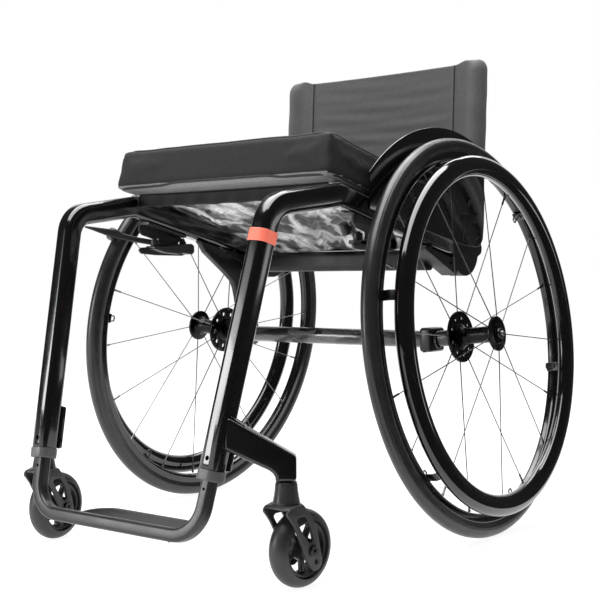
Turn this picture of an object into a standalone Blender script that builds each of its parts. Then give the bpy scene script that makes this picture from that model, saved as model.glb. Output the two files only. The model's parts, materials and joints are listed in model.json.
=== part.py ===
"""Active wheelchair with a rigid open frame, folding backrest, height-adjustable footrest and under-seat brakes.

Metres, +Z up. The chair faces -Y and +X is the user's left. Sizes below are measured from the rear axle (y = 0)
and the floor (z = 0); the whole chair hangs on one empty, which puts the middle of its footprint at the origin.
"""

import math

import bmesh
import bpy
from mathutils import Matrix, Vector

# Overall sizes
WHEEL_R = 0.305            # rear wheel over the tyre
TYRE_R = 0.012             # half the tyre's thickness
CAMBER = math.radians(6)   # the wheels stand closer together at the top
SEAT_HALF = 0.198          # middle of a seat rail from the chair's middle
HALF_TRACK = SEAT_HALF + 0.0684   # middle of the rear wheel, at its hub
GAP = 0.0003               # between parts that touch
RUN = 0.0008               # between parts that move

# Side frame: foot of the leg, knee, seat bend and rear end of the rail, on the tube's centre line
LEG_FOOT = Vector((SEAT_HALF - 0.040, -0.489, 0.1533))
LEG_LEAN = Vector((0.089, 0.240, 1.0))
KNEE_RISE = 0.3332
SEAT_BEND = Vector((SEAT_HALF, -0.275, 0.5065))
RAIL_DROP = 0.215
RAIL_END_Y = 0.030
LEG_W, LEG_D = 0.028, 0.030
RAIL_W, RAIL_H = 0.028, 0.033

# Footrest
FOOT_TUBE, FOOT_CORNER = 0.018, 0.0048
FOOT_BAR_Z = 0.069
FOOT_BEND = 0.048
FOOT_INSERT = 0.075
FOOT_DOWN, FOOT_UP = 0.020, 0.010
COLLAR_H = 0.0133

# Casters
CASTER_R = 0.050
CASTER_HALF = 0.015
CASTER_TRAIL = 0.025
CASTER_TOE = math.radians(6.2)
STEM_X, STEM_Y = SEAT_HALF + 0.031, -0.430
HOUSING_Z0, HOUSING_Z1 = 0.1105, 0.138

# Rear wheel
RIM_OUT, RIM_IN, RIM_HALF = WHEEL_R - 0.0225, WHEEL_R - 0.0365, 0.0090
HANDRIM_R, HANDRIM_OFF = WHEEL_R - 0.048, 0.0322
HANDRIM_TALL, HANDRIM_WIDE = 0.0160, 0.0125
SPOKES = 18
SPOKE_R = 0.0011
HUB_OUT, HUB_IN = 0.0405, -0.031
AXLE_R = 0.006
AXLE_Z = TYRE_R + (WHEEL_R - TYRE_R) * math.cos(CAMBER)

# Rear frame
TUBE_R = 0.0135
TUBE_X = SEAT_HALF + 0.005
POST_X, POST_T = SEAT_HALF - 0.008, 0.012
CLAMP_X, CLAMP_Y, CLAMP_Z = 0.024, 0.044, 0.038
CROSSBAR_Z, CROSSBAR_W, CROSSBAR_H = 0.4205, 0.028, 0.033

# Backrest
PIVOT_Y, PIVOT_Z = 0.110, 0.440
CANE_X, CANE_R = SEAT_HALF - 0.008, 0.0125
CANE_LEAN = 0.064
CANE_BASE_Y, CANE_BASE_Z = 0.1364, 0.452
CANE_TOP_Z = 0.738
BACK_TOP_Z, BACK_HEM_Z = 0.753, 0.468
SLEEVE_R = CANE_R + 0.003

# Cushion
CUSHION_T = 0.0665
CUSHION_Y0, CUSHION_Y1 = -0.3015, 0.052
CUSHION_HALF = SEAT_HALF + 0.0085

# Brakes: pin, lever and pad, and the lever's angle from straight ahead, outwards, when on and when folded
BRAKE_X, BRAKE_Y, BRAKE_LEN = SEAT_HALF + 0.0005, 0.0825 - WHEEL_R, 0.1114
BRAKE_ON, BRAKE_FOLDED = math.radians(40), math.radians(-140)
PAD_R, PAD_OUT, PAD_Z, PAD_HALF = 0.0070, 0.0115, 0.465, 0.009

# Facets round a turned piece
WHEEL_STEPS, CASTER_STEPS = 40, 24
RIM_FLAT = RIM_IN * math.cos(math.pi / WHEEL_STEPS)   # middle of a facet inside the rim

FRONT_Y = LEG_FOOT.y - 0.0202 - FOOT_TUBE / 2
ORIGIN_SHIFT = -(FRONT_Y + WHEEL_R) / 2

for old in list(bpy.data.objects):
    bpy.data.objects.remove(old, do_unlink=True)

parts = bpy.data.collections.new("active_wheelchair")
cutters = bpy.data.collections.new("cutters")
bpy.context.scene.collection.children.link(parts)
bpy.context.scene.collection.children.link(cutters)

chair = bpy.data.objects.new("chair", None)
chair.location = (0, ORIGIN_SHIFT, 0)
parts.objects.link(chair)


def material(name, color, rough, metal=0.0):
    mat = bpy.data.materials.new(name)
    mat.use_nodes = True
    shader = mat.node_tree.nodes["Principled BSDF"]
    shader.inputs["Base Color"].default_value = (*color, 1)
    shader.inputs["Roughness"].default_value = rough
    shader.inputs["Metallic"].default_value = metal
    mat.diffuse_color = (*color, 1)
    mat.roughness, mat.metallic = rough, metal
    return mat


GLOSS = (0.012, 0.012, 0.013)
SATIN = (0.055, 0.055, 0.054)
RUBBER = (0.030, 0.030, 0.029)
PLASTIC = (0.022, 0.022, 0.023)


def place(obj, location=(0, 0, 0), rotation=(0, 0, 0), parent=None):
    obj.parent = parent or chair
    obj.location = location
    obj.rotation_euler = rotation
    return obj


def add(name, mesh, mat=None, **where):
    """A part with its own material, or, with no material, a hidden cutter."""
    obj = bpy.data.objects.new(name, mesh)
    if mat is None:
        cutters.objects.link(obj)
        obj.hide_render = True
        obj.display_type = "WIRE"
    else:
        parts.objects.link(obj)
        mesh.materials.append(mat)
    return place(obj, **where)


def finish(bm, name, smooth=35):
    bmesh.ops.recalc_face_normals(bm, faces=bm.faces)
    if bm.calc_volume(signed=True) < 0:
        bmesh.ops.reverse_faces(bm, faces=bm.faces)
    mesh = bpy.data.meshes.new(name)
    bm.to_mesh(mesh)
    bm.free()
    mesh.shade_smooth()
    mesh.set_sharp_from_angle(angle=math.radians(smooth))
    return mesh


def boolean(obj, operation, other):
    mod = obj.modifiers.new(operation.lower(), "BOOLEAN")
    mod.operation = operation
    mod.solver = "EXACT"
    mod.object = other
    return obj


def cut(obj, *others):
    for other in others:
        boolean(obj, "DIFFERENCE", other)
    return obj


def join(obj, *others):
    for other in others:
        boolean(obj, "UNION", other)
    return obj


def turned(name, profile, steps, ring=False):
    """A turned solid. The profile is (radius, height) pairs down the outer side; a ring's profile closes on itself."""
    bm = bmesh.new()
    verts = [bm.verts.new((r, 0, z)) for r, z in profile]
    for a, b in zip(verts, verts[1:]):
        bm.edges.new((a, b))
    if ring:
        bm.edges.new((verts[-1], verts[0]))
    mesh = bpy.data.meshes.new(name)
    bm.to_mesh(mesh)
    bm.free()
    obj = bpy.data.objects.new(name, mesh)
    mod = obj.modifiers.new("turn", "SCREW")
    mod.steps = mod.render_steps = steps
    mod.use_merge_vertices = True
    mod.merge_threshold = 0.00001
    bpy.context.scene.collection.objects.link(obj)
    graph = bpy.context.evaluated_depsgraph_get()
    solid = bpy.data.meshes.new_from_object(obj.evaluated_get(graph))
    bpy.data.objects.remove(obj, do_unlink=True)
    bm = bmesh.new()
    bm.from_mesh(solid)
    bmesh.ops.remove_doubles(bm, verts=bm.verts, dist=0.00001)
    bpy.data.meshes.remove(solid)
    return finish(bm, name)


def oval_profile(radius, tall, wide, height, count):
    """An oval section for a ring, running down its outer side first."""
    turn = [math.tau * (i + 0.5) / count for i in range(count)]
    return [(radius + tall * math.sin(a), height + wide * math.cos(a)) for a in turn]


def section(width, depth, radius, corner=3):
    """A rectangle with round corners, as (across, through) pairs, counter-clockwise."""
    points = []
    for k, (sx, sy) in enumerate(((1, 1), (-1, 1), (-1, -1), (1, -1))):
        for i in range(corner):
            a = math.pi / 2 * (k + i / (corner - 1))
            points.append((sx * (width / 2 - radius) + radius * math.cos(a),
                           sy * (depth / 2 - radius) + radius * math.sin(a)))
    return points


def round_section(radius, count):
    return [(radius * math.cos(math.tau * i / count), radius * math.sin(math.tau * i / count)) for i in range(count)]


def fillet(points, radii, steps=6):
    """A centre line through the corners, each corner rounded to its radius."""
    path = [points[0]]
    for before, corner, after, radius in zip(points, points[1:], points[2:], radii):
        a, b = (before - corner).normalized(), (after - corner).normalized()
        half = a.angle(b) / 2
        start = corner + a * radius / math.tan(half)
        centre = corner + (a + b).normalized() * radius / math.sin(half)
        axis, sweep = (start - centre).cross(corner - centre).normalized(), math.pi - 2 * half
        for i in range(steps + 1):
            path.append(centre + Matrix.Rotation(sweep * i / steps, 3, axis) @ (start - centre))
    return path + [points[-1]]


def loft(bm, path, sections, across):
    """A closed solid along a path. Each ring's first direction is the one nearest to the vector across."""
    rings = []
    for i, point in enumerate(path):
        tangent = (path[min(i + 1, len(path) - 1)] - path[max(i - 1, 0)]).normalized()
        side = (across - tangent * across.dot(tangent)).normalized()
        up = tangent.cross(side)
        shape = sections[min(i, len(sections) - 1)]
        rings.append([bm.verts.new(point + side * u + up * v) for u, v in shape])
    for low, high in zip(rings, rings[1:]):
        for j in range(len(low)):
            k = (j + 1) % len(low)
            bm.faces.new((low[j], low[k], high[k], high[j]))
    bm.faces.new(list(reversed(rings[0])))
    bm.faces.new(rings[-1])


def swept(name, path, sections, across=Vector((1, 0, 0))):
    bm = bmesh.new()
    loft(bm, path, sections, across)
    return finish(bm, name)


def bent_tube(name, path, radius):
    """A bent round tube, as a curve with a bevel and filled ends."""
    curve = bpy.data.curves.new(name, "CURVE")
    curve.dimensions = "3D"
    curve.bevel_depth, curve.bevel_resolution, curve.use_fill_caps = radius, 2, True
    line = curve.splines.new("POLY")
    line.points.add(len(path) - 1)
    for point, at in zip(line.points, path):
        point.co = (*at, 1)
    return welded(curve, name)


def welded(curve, name):
    """A curve's mesh with its loose caps joined on."""
    obj = bpy.data.objects.new(name, curve)
    bpy.context.scene.collection.objects.link(obj)
    graph = bpy.context.evaluated_depsgraph_get()
    mesh = bpy.data.meshes.new_from_object(obj.evaluated_get(graph))
    bpy.data.objects.remove(obj, do_unlink=True)
    bm = bmesh.new()
    bm.from_mesh(mesh)
    bmesh.ops.remove_doubles(bm, verts=bm.verts, dist=0.00001)
    bpy.data.meshes.remove(mesh)
    return finish(bm, name)


def cylinder(name, radius, start, end, sides=20):
    """A round bar from start to end."""
    bm = bmesh.new()
    start, end = Vector(start), Vector(end)
    length = (end - start).length
    turn = Vector((0, 0, 1)).rotation_difference(end - start).to_matrix().to_4x4()
    bmesh.ops.create_cone(bm, cap_ends=True, segments=sides, radius1=radius, radius2=radius, depth=length,
                          matrix=Matrix.Translation((start + end) / 2) @ turn)
    return finish(bm, name)


def block(name, low, high, bevel=0.0, segments=2):
    """A box between two corners, with its edges rounded."""
    bm = bmesh.new()
    low, high = Vector(low), Vector(high)
    bmesh.ops.create_cube(bm, size=1)
    for vert in bm.verts:
        vert.co = Vector((a + (b - a) * (c + 0.5) for a, b, c in zip(low, high, vert.co)))
    if bevel:
        bmesh.ops.bevel(bm, geom=bm.edges, offset=bevel, segments=segments, affect="EDGES", profile=0.5)
    return finish(bm, name)


def plate(name, outline, x0, x1, bevel=0.0):
    """A flat plate across X whose outline is (y, z) pairs."""
    curve = bpy.data.curves.new(name, "CURVE")
    curve.dimensions = "2D"
    curve.fill_mode = "BOTH"
    curve.extrude = (x1 - x0) / 2 - bevel
    curve.bevel_depth, curve.bevel_resolution, curve.offset = bevel, 0, -bevel
    line = curve.splines.new("POLY")
    line.points.add(len(outline) - 1)
    for point, (y, z) in zip(line.points, outline):
        point.co = (y, z, 0, 1)
    line.use_cyclic_u = True
    mesh = welded(curve, name)
    mesh.transform(Matrix(((0, 0, 1, (x0 + x1) / 2), (1, 0, 0, 0), (0, 1, 0, 0), (0, 0, 0, 1))))
    return mesh


def arc(centre, radius, start, end, steps):
    """(y, z) pairs round a centre, angles in degrees from +Y towards +Z."""
    turn = [math.radians(start + (end - start) * i / steps) for i in range(steps + 1)]
    return [(centre[0] + radius * math.cos(a), centre[1] + radius * math.sin(a)) for a in turn]


def mirrored(mesh, name):
    """The other side's copy, with its faces still pointing out."""
    copy = mesh.copy()
    copy.name = name
    copy.transform(Matrix.Scale(-1, 4, (1, 0, 0)))
    copy.flip_normals()
    return copy


def side(sign, mesh, name):
    if sign > 0:
        mesh.name = name
        return mesh
    return mirrored(mesh, name)


def leg_at(z):
    return LEG_FOOT + LEG_LEAN * (z - LEG_FOOT.z)


def rail_at(y):
    return Vector((SEAT_HALF, y, SEAT_BEND.z - RAIL_DROP * (y - SEAT_BEND.y)))


RAIL_HALF_Z = RAIL_H / 2 * math.hypot(1, RAIL_DROP)


def rail_top(y):
    return rail_at(y).z + RAIL_HALF_Z


def rail_bottom(y):
    return rail_at(y).z - RAIL_HALF_Z


# Side frames: one bent tube each, leg, knee and seat rail, hollow at the foot for the footrest tube
KNEE = leg_at(LEG_FOOT.z + KNEE_RISE)
frame_corners = [LEG_FOOT, KNEE, SEAT_BEND, rail_at(RAIL_END_Y)]


def frame_sections(path, grow=0.0):
    shapes = []
    for point in path:
        t = min(1.0, max(0.0, (point.z - 0.457) / 0.05)) if point.y < -0.3 else 1.0
        width, depth = LEG_W + (RAIL_W - LEG_W) * t, LEG_D + (RAIL_H - LEG_D) * t
        shapes.append(section(width + grow, depth + grow, 0.0085 + grow / 2, 3))
    return shapes


frame_path = fillet(frame_corners, [0.040, 0.045], 6)
leg_dir = LEG_LEAN.normalized()
cavity_w = FOOT_TUBE + 2 * (GAP + 0.089 * FOOT_DOWN + 0.0001)
cavity_d = FOOT_TUBE + 0.0012
cavity = [leg_at(LEG_FOOT.z - 0.03), leg_at(LEG_FOOT.z + FOOT_INSERT + FOOT_UP + 0.02)]
cavity_shape = [section(cavity_w, cavity_d, 0.005)]
seat_of_frame = [frame_path[0] - leg_dir * 0.004] + frame_path[1:]

for sign, label in ((1, "left"), (-1, "right")):
    gloss = material(label + "_frame_paint", GLOSS, 0.16)
    tube = add(label + "_side_frame", side(sign, swept("tube", frame_path, frame_sections(frame_path)), label), gloss)
    bore = add(label + "_leg_bore", side(sign, swept("bore", cavity, cavity_shape), label + "_bore"))
    hole_at = leg_at(0.170)
    hole = cylinder("hole", 0.0031, hole_at + Vector((0, -0.030, 0)), hole_at, 12)
    cut(tube, bore, add(label + "_leg_hole", side(sign, hole, label + "_hole")))

    collar_path = [leg_at(LEG_FOOT.z - GAP), leg_at(LEG_FOOT.z - COLLAR_H)]
    collar = swept("collar", collar_path, [section(LEG_W + 0.0022, LEG_D + 0.0022, 0.0085, 3)])
    grey = material(label + "_collar_plastic", (0.17, 0.17, 0.165), 0.45)
    cut(add(label + "_leg_collar", side(sign, collar, label + "_collar"), grey), bore)

# Accent band round the left leg, just under the knee
band_path = [leg_at(0.4375), leg_at(0.4535)]
band = add("accent_band", swept("band", band_path, [section(LEG_W + 0.0030, LEG_D + 0.0030, 0.0098, 3)]),
           material("accent_paint", (0.80, 0.20, 0.135), 0.4))
leg_core = [leg_at(0.42), leg_at(0.48)]
cut(band, add("band_bore", swept("band_bore", leg_core, [section(LEG_W + 2 * GAP, LEG_D + 2 * GAP, 0.0085 + GAP, 3)])))

# Footrest: a U of tube that slides in the legs, and a flat band behind its bar
foot_top = leg_at(LEG_FOOT.z + FOOT_INSERT)
foot_low = leg_at(FOOT_BAR_Z)
flip = Vector((-1, 1, 1))
foot_corners = [foot_top, foot_low, foot_low * flip, foot_top * flip]
foot_path = fillet(foot_corners, [FOOT_BEND, FOOT_BEND], 6)
foot_shape = [section(FOOT_TUBE, FOOT_TUBE, FOOT_CORNER)]
bm = bmesh.new()
loft(bm, foot_path, foot_shape, LEG_LEAN.cross(Vector((1, 0, 0))))
foot_mat = material("footrest_paint", SATIN, 0.42, 0.3)
footrest = add("footrest_tube", finish(bm, "footrest_tube"), foot_mat)

lean_back = math.atan(LEG_LEAN.y)
bar_reach = (FOOT_TUBE / 2 - FOOT_CORNER) * (math.cos(lean_back) + math.sin(lean_back)) + FOOT_CORNER
bar_back = foot_low.y + bar_reach + GAP
loop_half, loop_back = 0.092, bar_back + 0.062
band_z = FOOT_BAR_Z - 0.0065
loop = [Vector((-loop_half, bar_back, band_z)), Vector((-loop_half, loop_back, band_z)),
        Vector((loop_half, loop_back, band_z)), Vector((loop_half, bar_back, band_z))]
loop_path = fillet(loop, [0.030, 0.030], 6)
add("footrest_band", swept("footrest_band", loop_path, [section(0.015, 0.004, 0.0015, 2)], Vector((0, 0, 1))),
    material("footrest_band_paint", SATIN, 0.42, 0.3))


# Casters
def caster_frame(sign):
    """Empty on the stem's axis, turned by the toe-in. Its children are made with y = 0 on that axis."""
    stem = bpy.data.objects.new("left_caster" if sign > 0 else "right_caster", None)
    parts.objects.link(stem)
    return place(stem, (sign * STEM_X, STEM_Y, 0), (0, 0, -sign * CASTER_TOE))


fork_half = CASTER_HALF + 0.0028
leg_t = 0.0045
crown_z = HOUSING_Z0 - GAP
axle_at = (CASTER_TRAIL, CASTER_R)
spare_at = (axle_at[0] + 0.0060, axle_at[1] - 0.0151)   # a second, lower hole for the caster's bolt
fork_outline = [(-0.0185, crown_z), (0.0085, crown_z), (0.0190, crown_z - 0.0120), (0.0240, crown_z - 0.0185),
                (0.0310, 0.0770), (0.0368, 0.0610)]
fork_outline += arc(spare_at, 0.0116, 20, -150, 6) + [(0.0155, 0.0360), (0.0112, 0.0430), (0.0062, 0.0564),
                                                     (-0.0011, 0.0725), (-0.0094, 0.0863), (-0.0156, 0.0942),
                                                     (-0.0205, crown_z - 0.0095), (-0.0210, crown_z - 0.0030)]
# The arm is drawn from the side, s running outwards from the leg's middle to the stem's axis
arm_from = leg_at(0.200)
arm_run = Vector((STEM_X - arm_from.x, STEM_Y - arm_from.y, 0))
arm_len, arm_top, end_half = arm_run.length, 0.1705, 0.0132
arm_outline = [(0.004, 0.2235), (arm_len + end_half, arm_top), (arm_len + end_half, HOUSING_Z1 + GAP),
               (arm_len - end_half, HOUSING_Z1 + GAP), (arm_len - end_half, 0.1440), (arm_len - end_half - 0.003, 0.1490),
               (arm_len - end_half - 0.008, 0.1530), (0.004, 0.1790)]
arm_turn = Matrix.Rotation(math.atan2(arm_run.y, arm_run.x) - math.pi / 2, 4, "Z")

for sign, label in ((1, "left"), (-1, "right")):
    mesh = plate("arm", arm_outline, -0.0135, 0.0135, 0.0030)
    mesh.transform(Matrix.Translation((arm_from.x, arm_from.y, 0)) @ arm_turn)
    arm = add(label + "_caster_arm", side(sign, mesh, label + "_arm"), material(label + "_arm_paint", GLOSS, 0.18))
    clamp_path = [leg_at(LEG_FOOT.z + 0.001), leg_at(0.2130)]
    clamp_shape = [(u, v + LEG_D / 2 + 0.00225) for u, v in section(LEG_W, 0.0085, 0.0030, 3)]
    clamp = side(sign, swept("clamp", clamp_path, [clamp_shape]), label + "_clamp")
    join(arm, add(label + "_arm_clamp", clamp))
    leg_path = [leg_at(0.10), leg_at(0.30)]
    leg_room = swept("leg_room", leg_path, [section(LEG_W + 2 * GAP, LEG_D + 2 * GAP, 0.0088, 3)])
    cut(arm, add(label + "_leg_room", side(sign, leg_room, label + "_leg_room")))

    stem = caster_frame(sign)
    profile = [(0, HOUSING_Z1), (0.0132, HOUSING_Z1), (0.0140, HOUSING_Z1 - 0.001), (0.0149, 0.128), (0.0176, 0.1125),
               (0.0174, HOUSING_Z0), (0.0064, HOUSING_Z0), (0.0064, HOUSING_Z1 - 0.006), (0, HOUSING_Z1 - 0.006)]
    add(label + "_caster_housing", turned(label + "_housing", profile, 18),
        material(label + "_housing_plastic", SATIN, 0.5), parent=stem)

    fork = add(label + "_caster_fork", plate(label + "_fork", fork_outline, fork_half, fork_half + leg_t, 0.0008),
               material(label + "_fork_paint", SATIN, 0.48), parent=stem)
    other = add(label + "_fork_leg", plate("leg", fork_outline, -fork_half - leg_t, -fork_half, 0.0008), parent=stem)
    edge = fork_half + leg_t
    crown = block("crown", (-edge + 0.0004, -0.0195, crown_z - 0.0040), (edge - 0.0004, 0.0135, crown_z))
    crown = add(label + "_fork_crown", crown, parent=stem)
    post = add(label + "_fork_stem", cylinder("stem", 0.0060, (0, 0, crown_z - 0.002), (0, 0, HOUSING_Z1 - 0.008), 14), parent=stem)
    eye = (0.02 + fork_half, axle_at[0], axle_at[1])
    bore = add(label + "_fork_bore", cylinder("bore", 0.0043, (-eye[0], *eye[1:]), eye, 12), parent=stem)
    spare = cylinder("spare", 0.0030, (-eye[0], *spare_at), (eye[0], *spare_at), 8)
    spare = add(label + "_fork_spare_hole", spare, parent=stem)
    window = plate("window", [(-0.0075, 0.0945), (0.0160, 0.0945), (0.0262, 0.0700), (0.0180, 0.0640)], -0.03, 0.03)
    window = add(label + "_fork_window", window, parent=stem)
    cut(join(fork, other, crown, post), bore, spare, window)

    pin_r, head = 0.0040, fork_half + leg_t + GAP
    profile = [(0, head + 0.003), (0.0062, head + 0.003), (0.0070, head + 0.0022), (0.0070, head), (pin_r, head),
               (pin_r, -head), (0.0070, -head), (0.0070, -head - 0.0022), (0.0062, -head - 0.003), (0, -head - 0.003)]
    hub_place = dict(location=(0, CASTER_TRAIL, CASTER_R), rotation=(0, math.pi / 2, 0), parent=stem)
    add(label + "_caster_axle", turned(label + "_caster_axle", profile, 12),
        material(label + "_caster_bolt", (0.03, 0.03, 0.03), 0.35, 0.6), **hub_place)

    core_r, web = 0.0362, 0.004
    profile = [(0.0048, 0.0162), (0.0130, 0.0162), (0.0150, web), (0.0318, web), (0.0325, 0.0115), (core_r, 0.0115),
               (core_r, -0.0115), (0.0325, -0.0115), (0.0318, -web), (0.0150, -web), (0.0130, -0.0162), (0.0048, -0.0162)]
    core = add(label + "_caster_wheel", turned(label + "_caster_core", profile, CASTER_STEPS, True),
               material(label + "_caster_core_plastic", PLASTIC, 0.4), **hub_place)
    bm = bmesh.new()
    for k in range(5):
        a = math.radians(112 + 72 * k)
        corners = []
        for r, turn in ((0.0165, (-25, 25)), (0.0314, (30, 10, -10, -30))):
            corners += [(r, math.radians(t)) for t in turn]
        low = [bm.verts.new((r * math.cos(a + t), r * math.sin(a + t), -0.02)) for r, t in corners]
        face = bm.faces.new(low)
        top = bmesh.ops.extrude_face_region(bm, geom=[face])["geom"]
        bmesh.ops.translate(bm, vec=(0, 0, 0.04), verts=[v for v in top if isinstance(v, bmesh.types.BMVert)])
    cut(core, add(label + "_core_windows", finish(bm, label + "_windows"), **hub_place))

    inner, flat = core_r + GAP, 0.0118
    tread = [(CASTER_R - 0.0125 + 0.0125 * math.cos(t), CASTER_HALF * math.sin(t))
             for t in (math.radians(90 - 180 * i / 6) for i in range(7))]
    profile = tread + [(inner, -flat), (inner, flat)]
    add(label + "_caster_tyre", turned(label + "_caster_tyre", profile, CASTER_STEPS, True),
        material(label + "_caster_rubber", RUBBER, 0.55), **hub_place)

# Rear frame: cross tube on the axle line, clamps with curved posts up to the rails, crossbar under the rails
TUBE_Z = AXLE_Z - (HALF_TRACK - POST_X + 0.003) * math.tan(CAMBER)
profile = [(TUBE_R, TUBE_X), (TUBE_R, -TUBE_X), (0.0113, -TUBE_X), (0.0113, TUBE_X)]
add("axle_tube", turned("axle_tube", profile, 24, True), material("carbon_weave", (0.020, 0.020, 0.021), 0.25),
    location=(0, 0, TUBE_Z), rotation=(0, math.pi / 2, 0))

bar_end = POST_X - POST_T / 2 - GAP
bar = [Vector((-bar_end, 0, CROSSBAR_Z)), Vector((bar_end, 0, CROSSBAR_Z))]
bar_shape = [section(CROSSBAR_W, CROSSBAR_H, 0.010, 4)]
add("seat_crossbar", swept("seat_crossbar", bar, bar_shape, Vector((0, 1, 0))),
    material("crossbar_paint", SATIN, 0.4, 0.2))


def bracket_bottom(y):
    """Lower edge of the hinge bracket, from the rail's underside back to its round end."""
    return 0.4370 - 0.418 * (y + 0.060)


front_edge = [(-0.0202, TUBE_Z + 0.012), (-0.0245, 0.335), (-0.0300, 0.360), (-0.0345, 0.376), (-0.0425, 0.389),
              (-0.0600, 0.402), (-0.0850, 0.4185), (-0.1130, 0.4370), (-0.1290, rail_bottom(-0.129) - GAP)]
rear_edge = [(-0.0760, rail_bottom(-0.076) - GAP), (-0.0590, bracket_bottom(-0.059) - GAP),
             (-0.0080, bracket_bottom(-0.008) - GAP), (-0.0060, 0.3950), (-0.0030, 0.3700), (0.0060, 0.340),
             (0.0152, TUBE_Z + 0.012)]

for sign, label in ((1, "left"), (-1, "right")):
    mat = material(label + "_support_paint", (0.020, 0.020, 0.021), 0.3)
    post = plate("post", front_edge + rear_edge, POST_X - POST_T / 2, POST_X + POST_T / 2, 0.0015)
    support = add(label + "_axle_support", side(sign, post, label + "_support"), mat)
    clamp = block("clamp", (POST_X - CLAMP_X / 2, -CLAMP_Y / 2, TUBE_Z - CLAMP_Z / 2),
                  (POST_X + CLAMP_X / 2 - 0.002, CLAMP_Y / 2, TUBE_Z + CLAMP_Z / 2), 0.005, 1)
    clamp = add(label + "_clamp", side(sign, clamp, label + "_clamp"))
    room = cylinder("room", TUBE_R + GAP, (sign * (POST_X - 0.04), 0, TUBE_Z), (sign * (POST_X + 0.04), 0, TUBE_Z), 24)
    cut(join(support, clamp), add(label + "_clamp_bore", room))


# Rear wheels: each on an empty at the wheel's middle whose Z points outwards along the cambered axle
hub_profile = [
    (AXLE_R + RUN, HUB_OUT), (0.0150, HUB_OUT), (0.0165, 0.0385), (0.0265, 0.0380), (0.0265, 0.0340), (0.0140, 0.0290),
    (0.0125, -0.0140), (0.0190, -0.0226), (0.0398, -0.0240), (0.0398, -0.0280), (0.0200, -0.0286), (0.0160, HUB_IN),
    (AXLE_R + RUN, HUB_IN)]


def spoke_mesh(phase, first):
    """Nine radial spokes on each flange, turn about, with a nipple at the rim end."""
    bm = bmesh.new()
    for k in range(SPOKES):
        a = phase + math.tau * k / SPOKES
        r0, z0, z1 = (0.0240, 0.0358, 0.0035) if k % 2 == first else (0.0370, -0.0262, -0.0035)
        out = Vector((math.cos(a), math.sin(a), 0))
        start, end = out * r0 + Vector((0, 0, z0)), out * (RIM_FLAT - GAP) + Vector((0, 0, z1))
        along = [start, start.lerp(end, 0.942), start.lerp(end, 0.948), end]
        shapes = [round_section(r, 4) for r in (SPOKE_R, SPOKE_R, 0.0020, 0.0022)]
        loft(bm, along, shapes, Vector((0, 0, 1)))
    return finish(bm, "spokes", 50)


def flange_cutter(phase, first):
    """Nine round holes in the inner flange, between its spokes."""
    bm = bmesh.new()
    for k in range(9):
        a = phase + math.tau * (2 * k + first) / SPOKES
        at = Matrix.Translation((0.0290 * math.cos(a), 0.0290 * math.sin(a), -0.026))
        bmesh.ops.create_cone(bm, cap_ends=True, segments=6, radius1=0.0038, radius2=0.0038, depth=0.012, matrix=at)
    return finish(bm, "flange_cutter")


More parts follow.
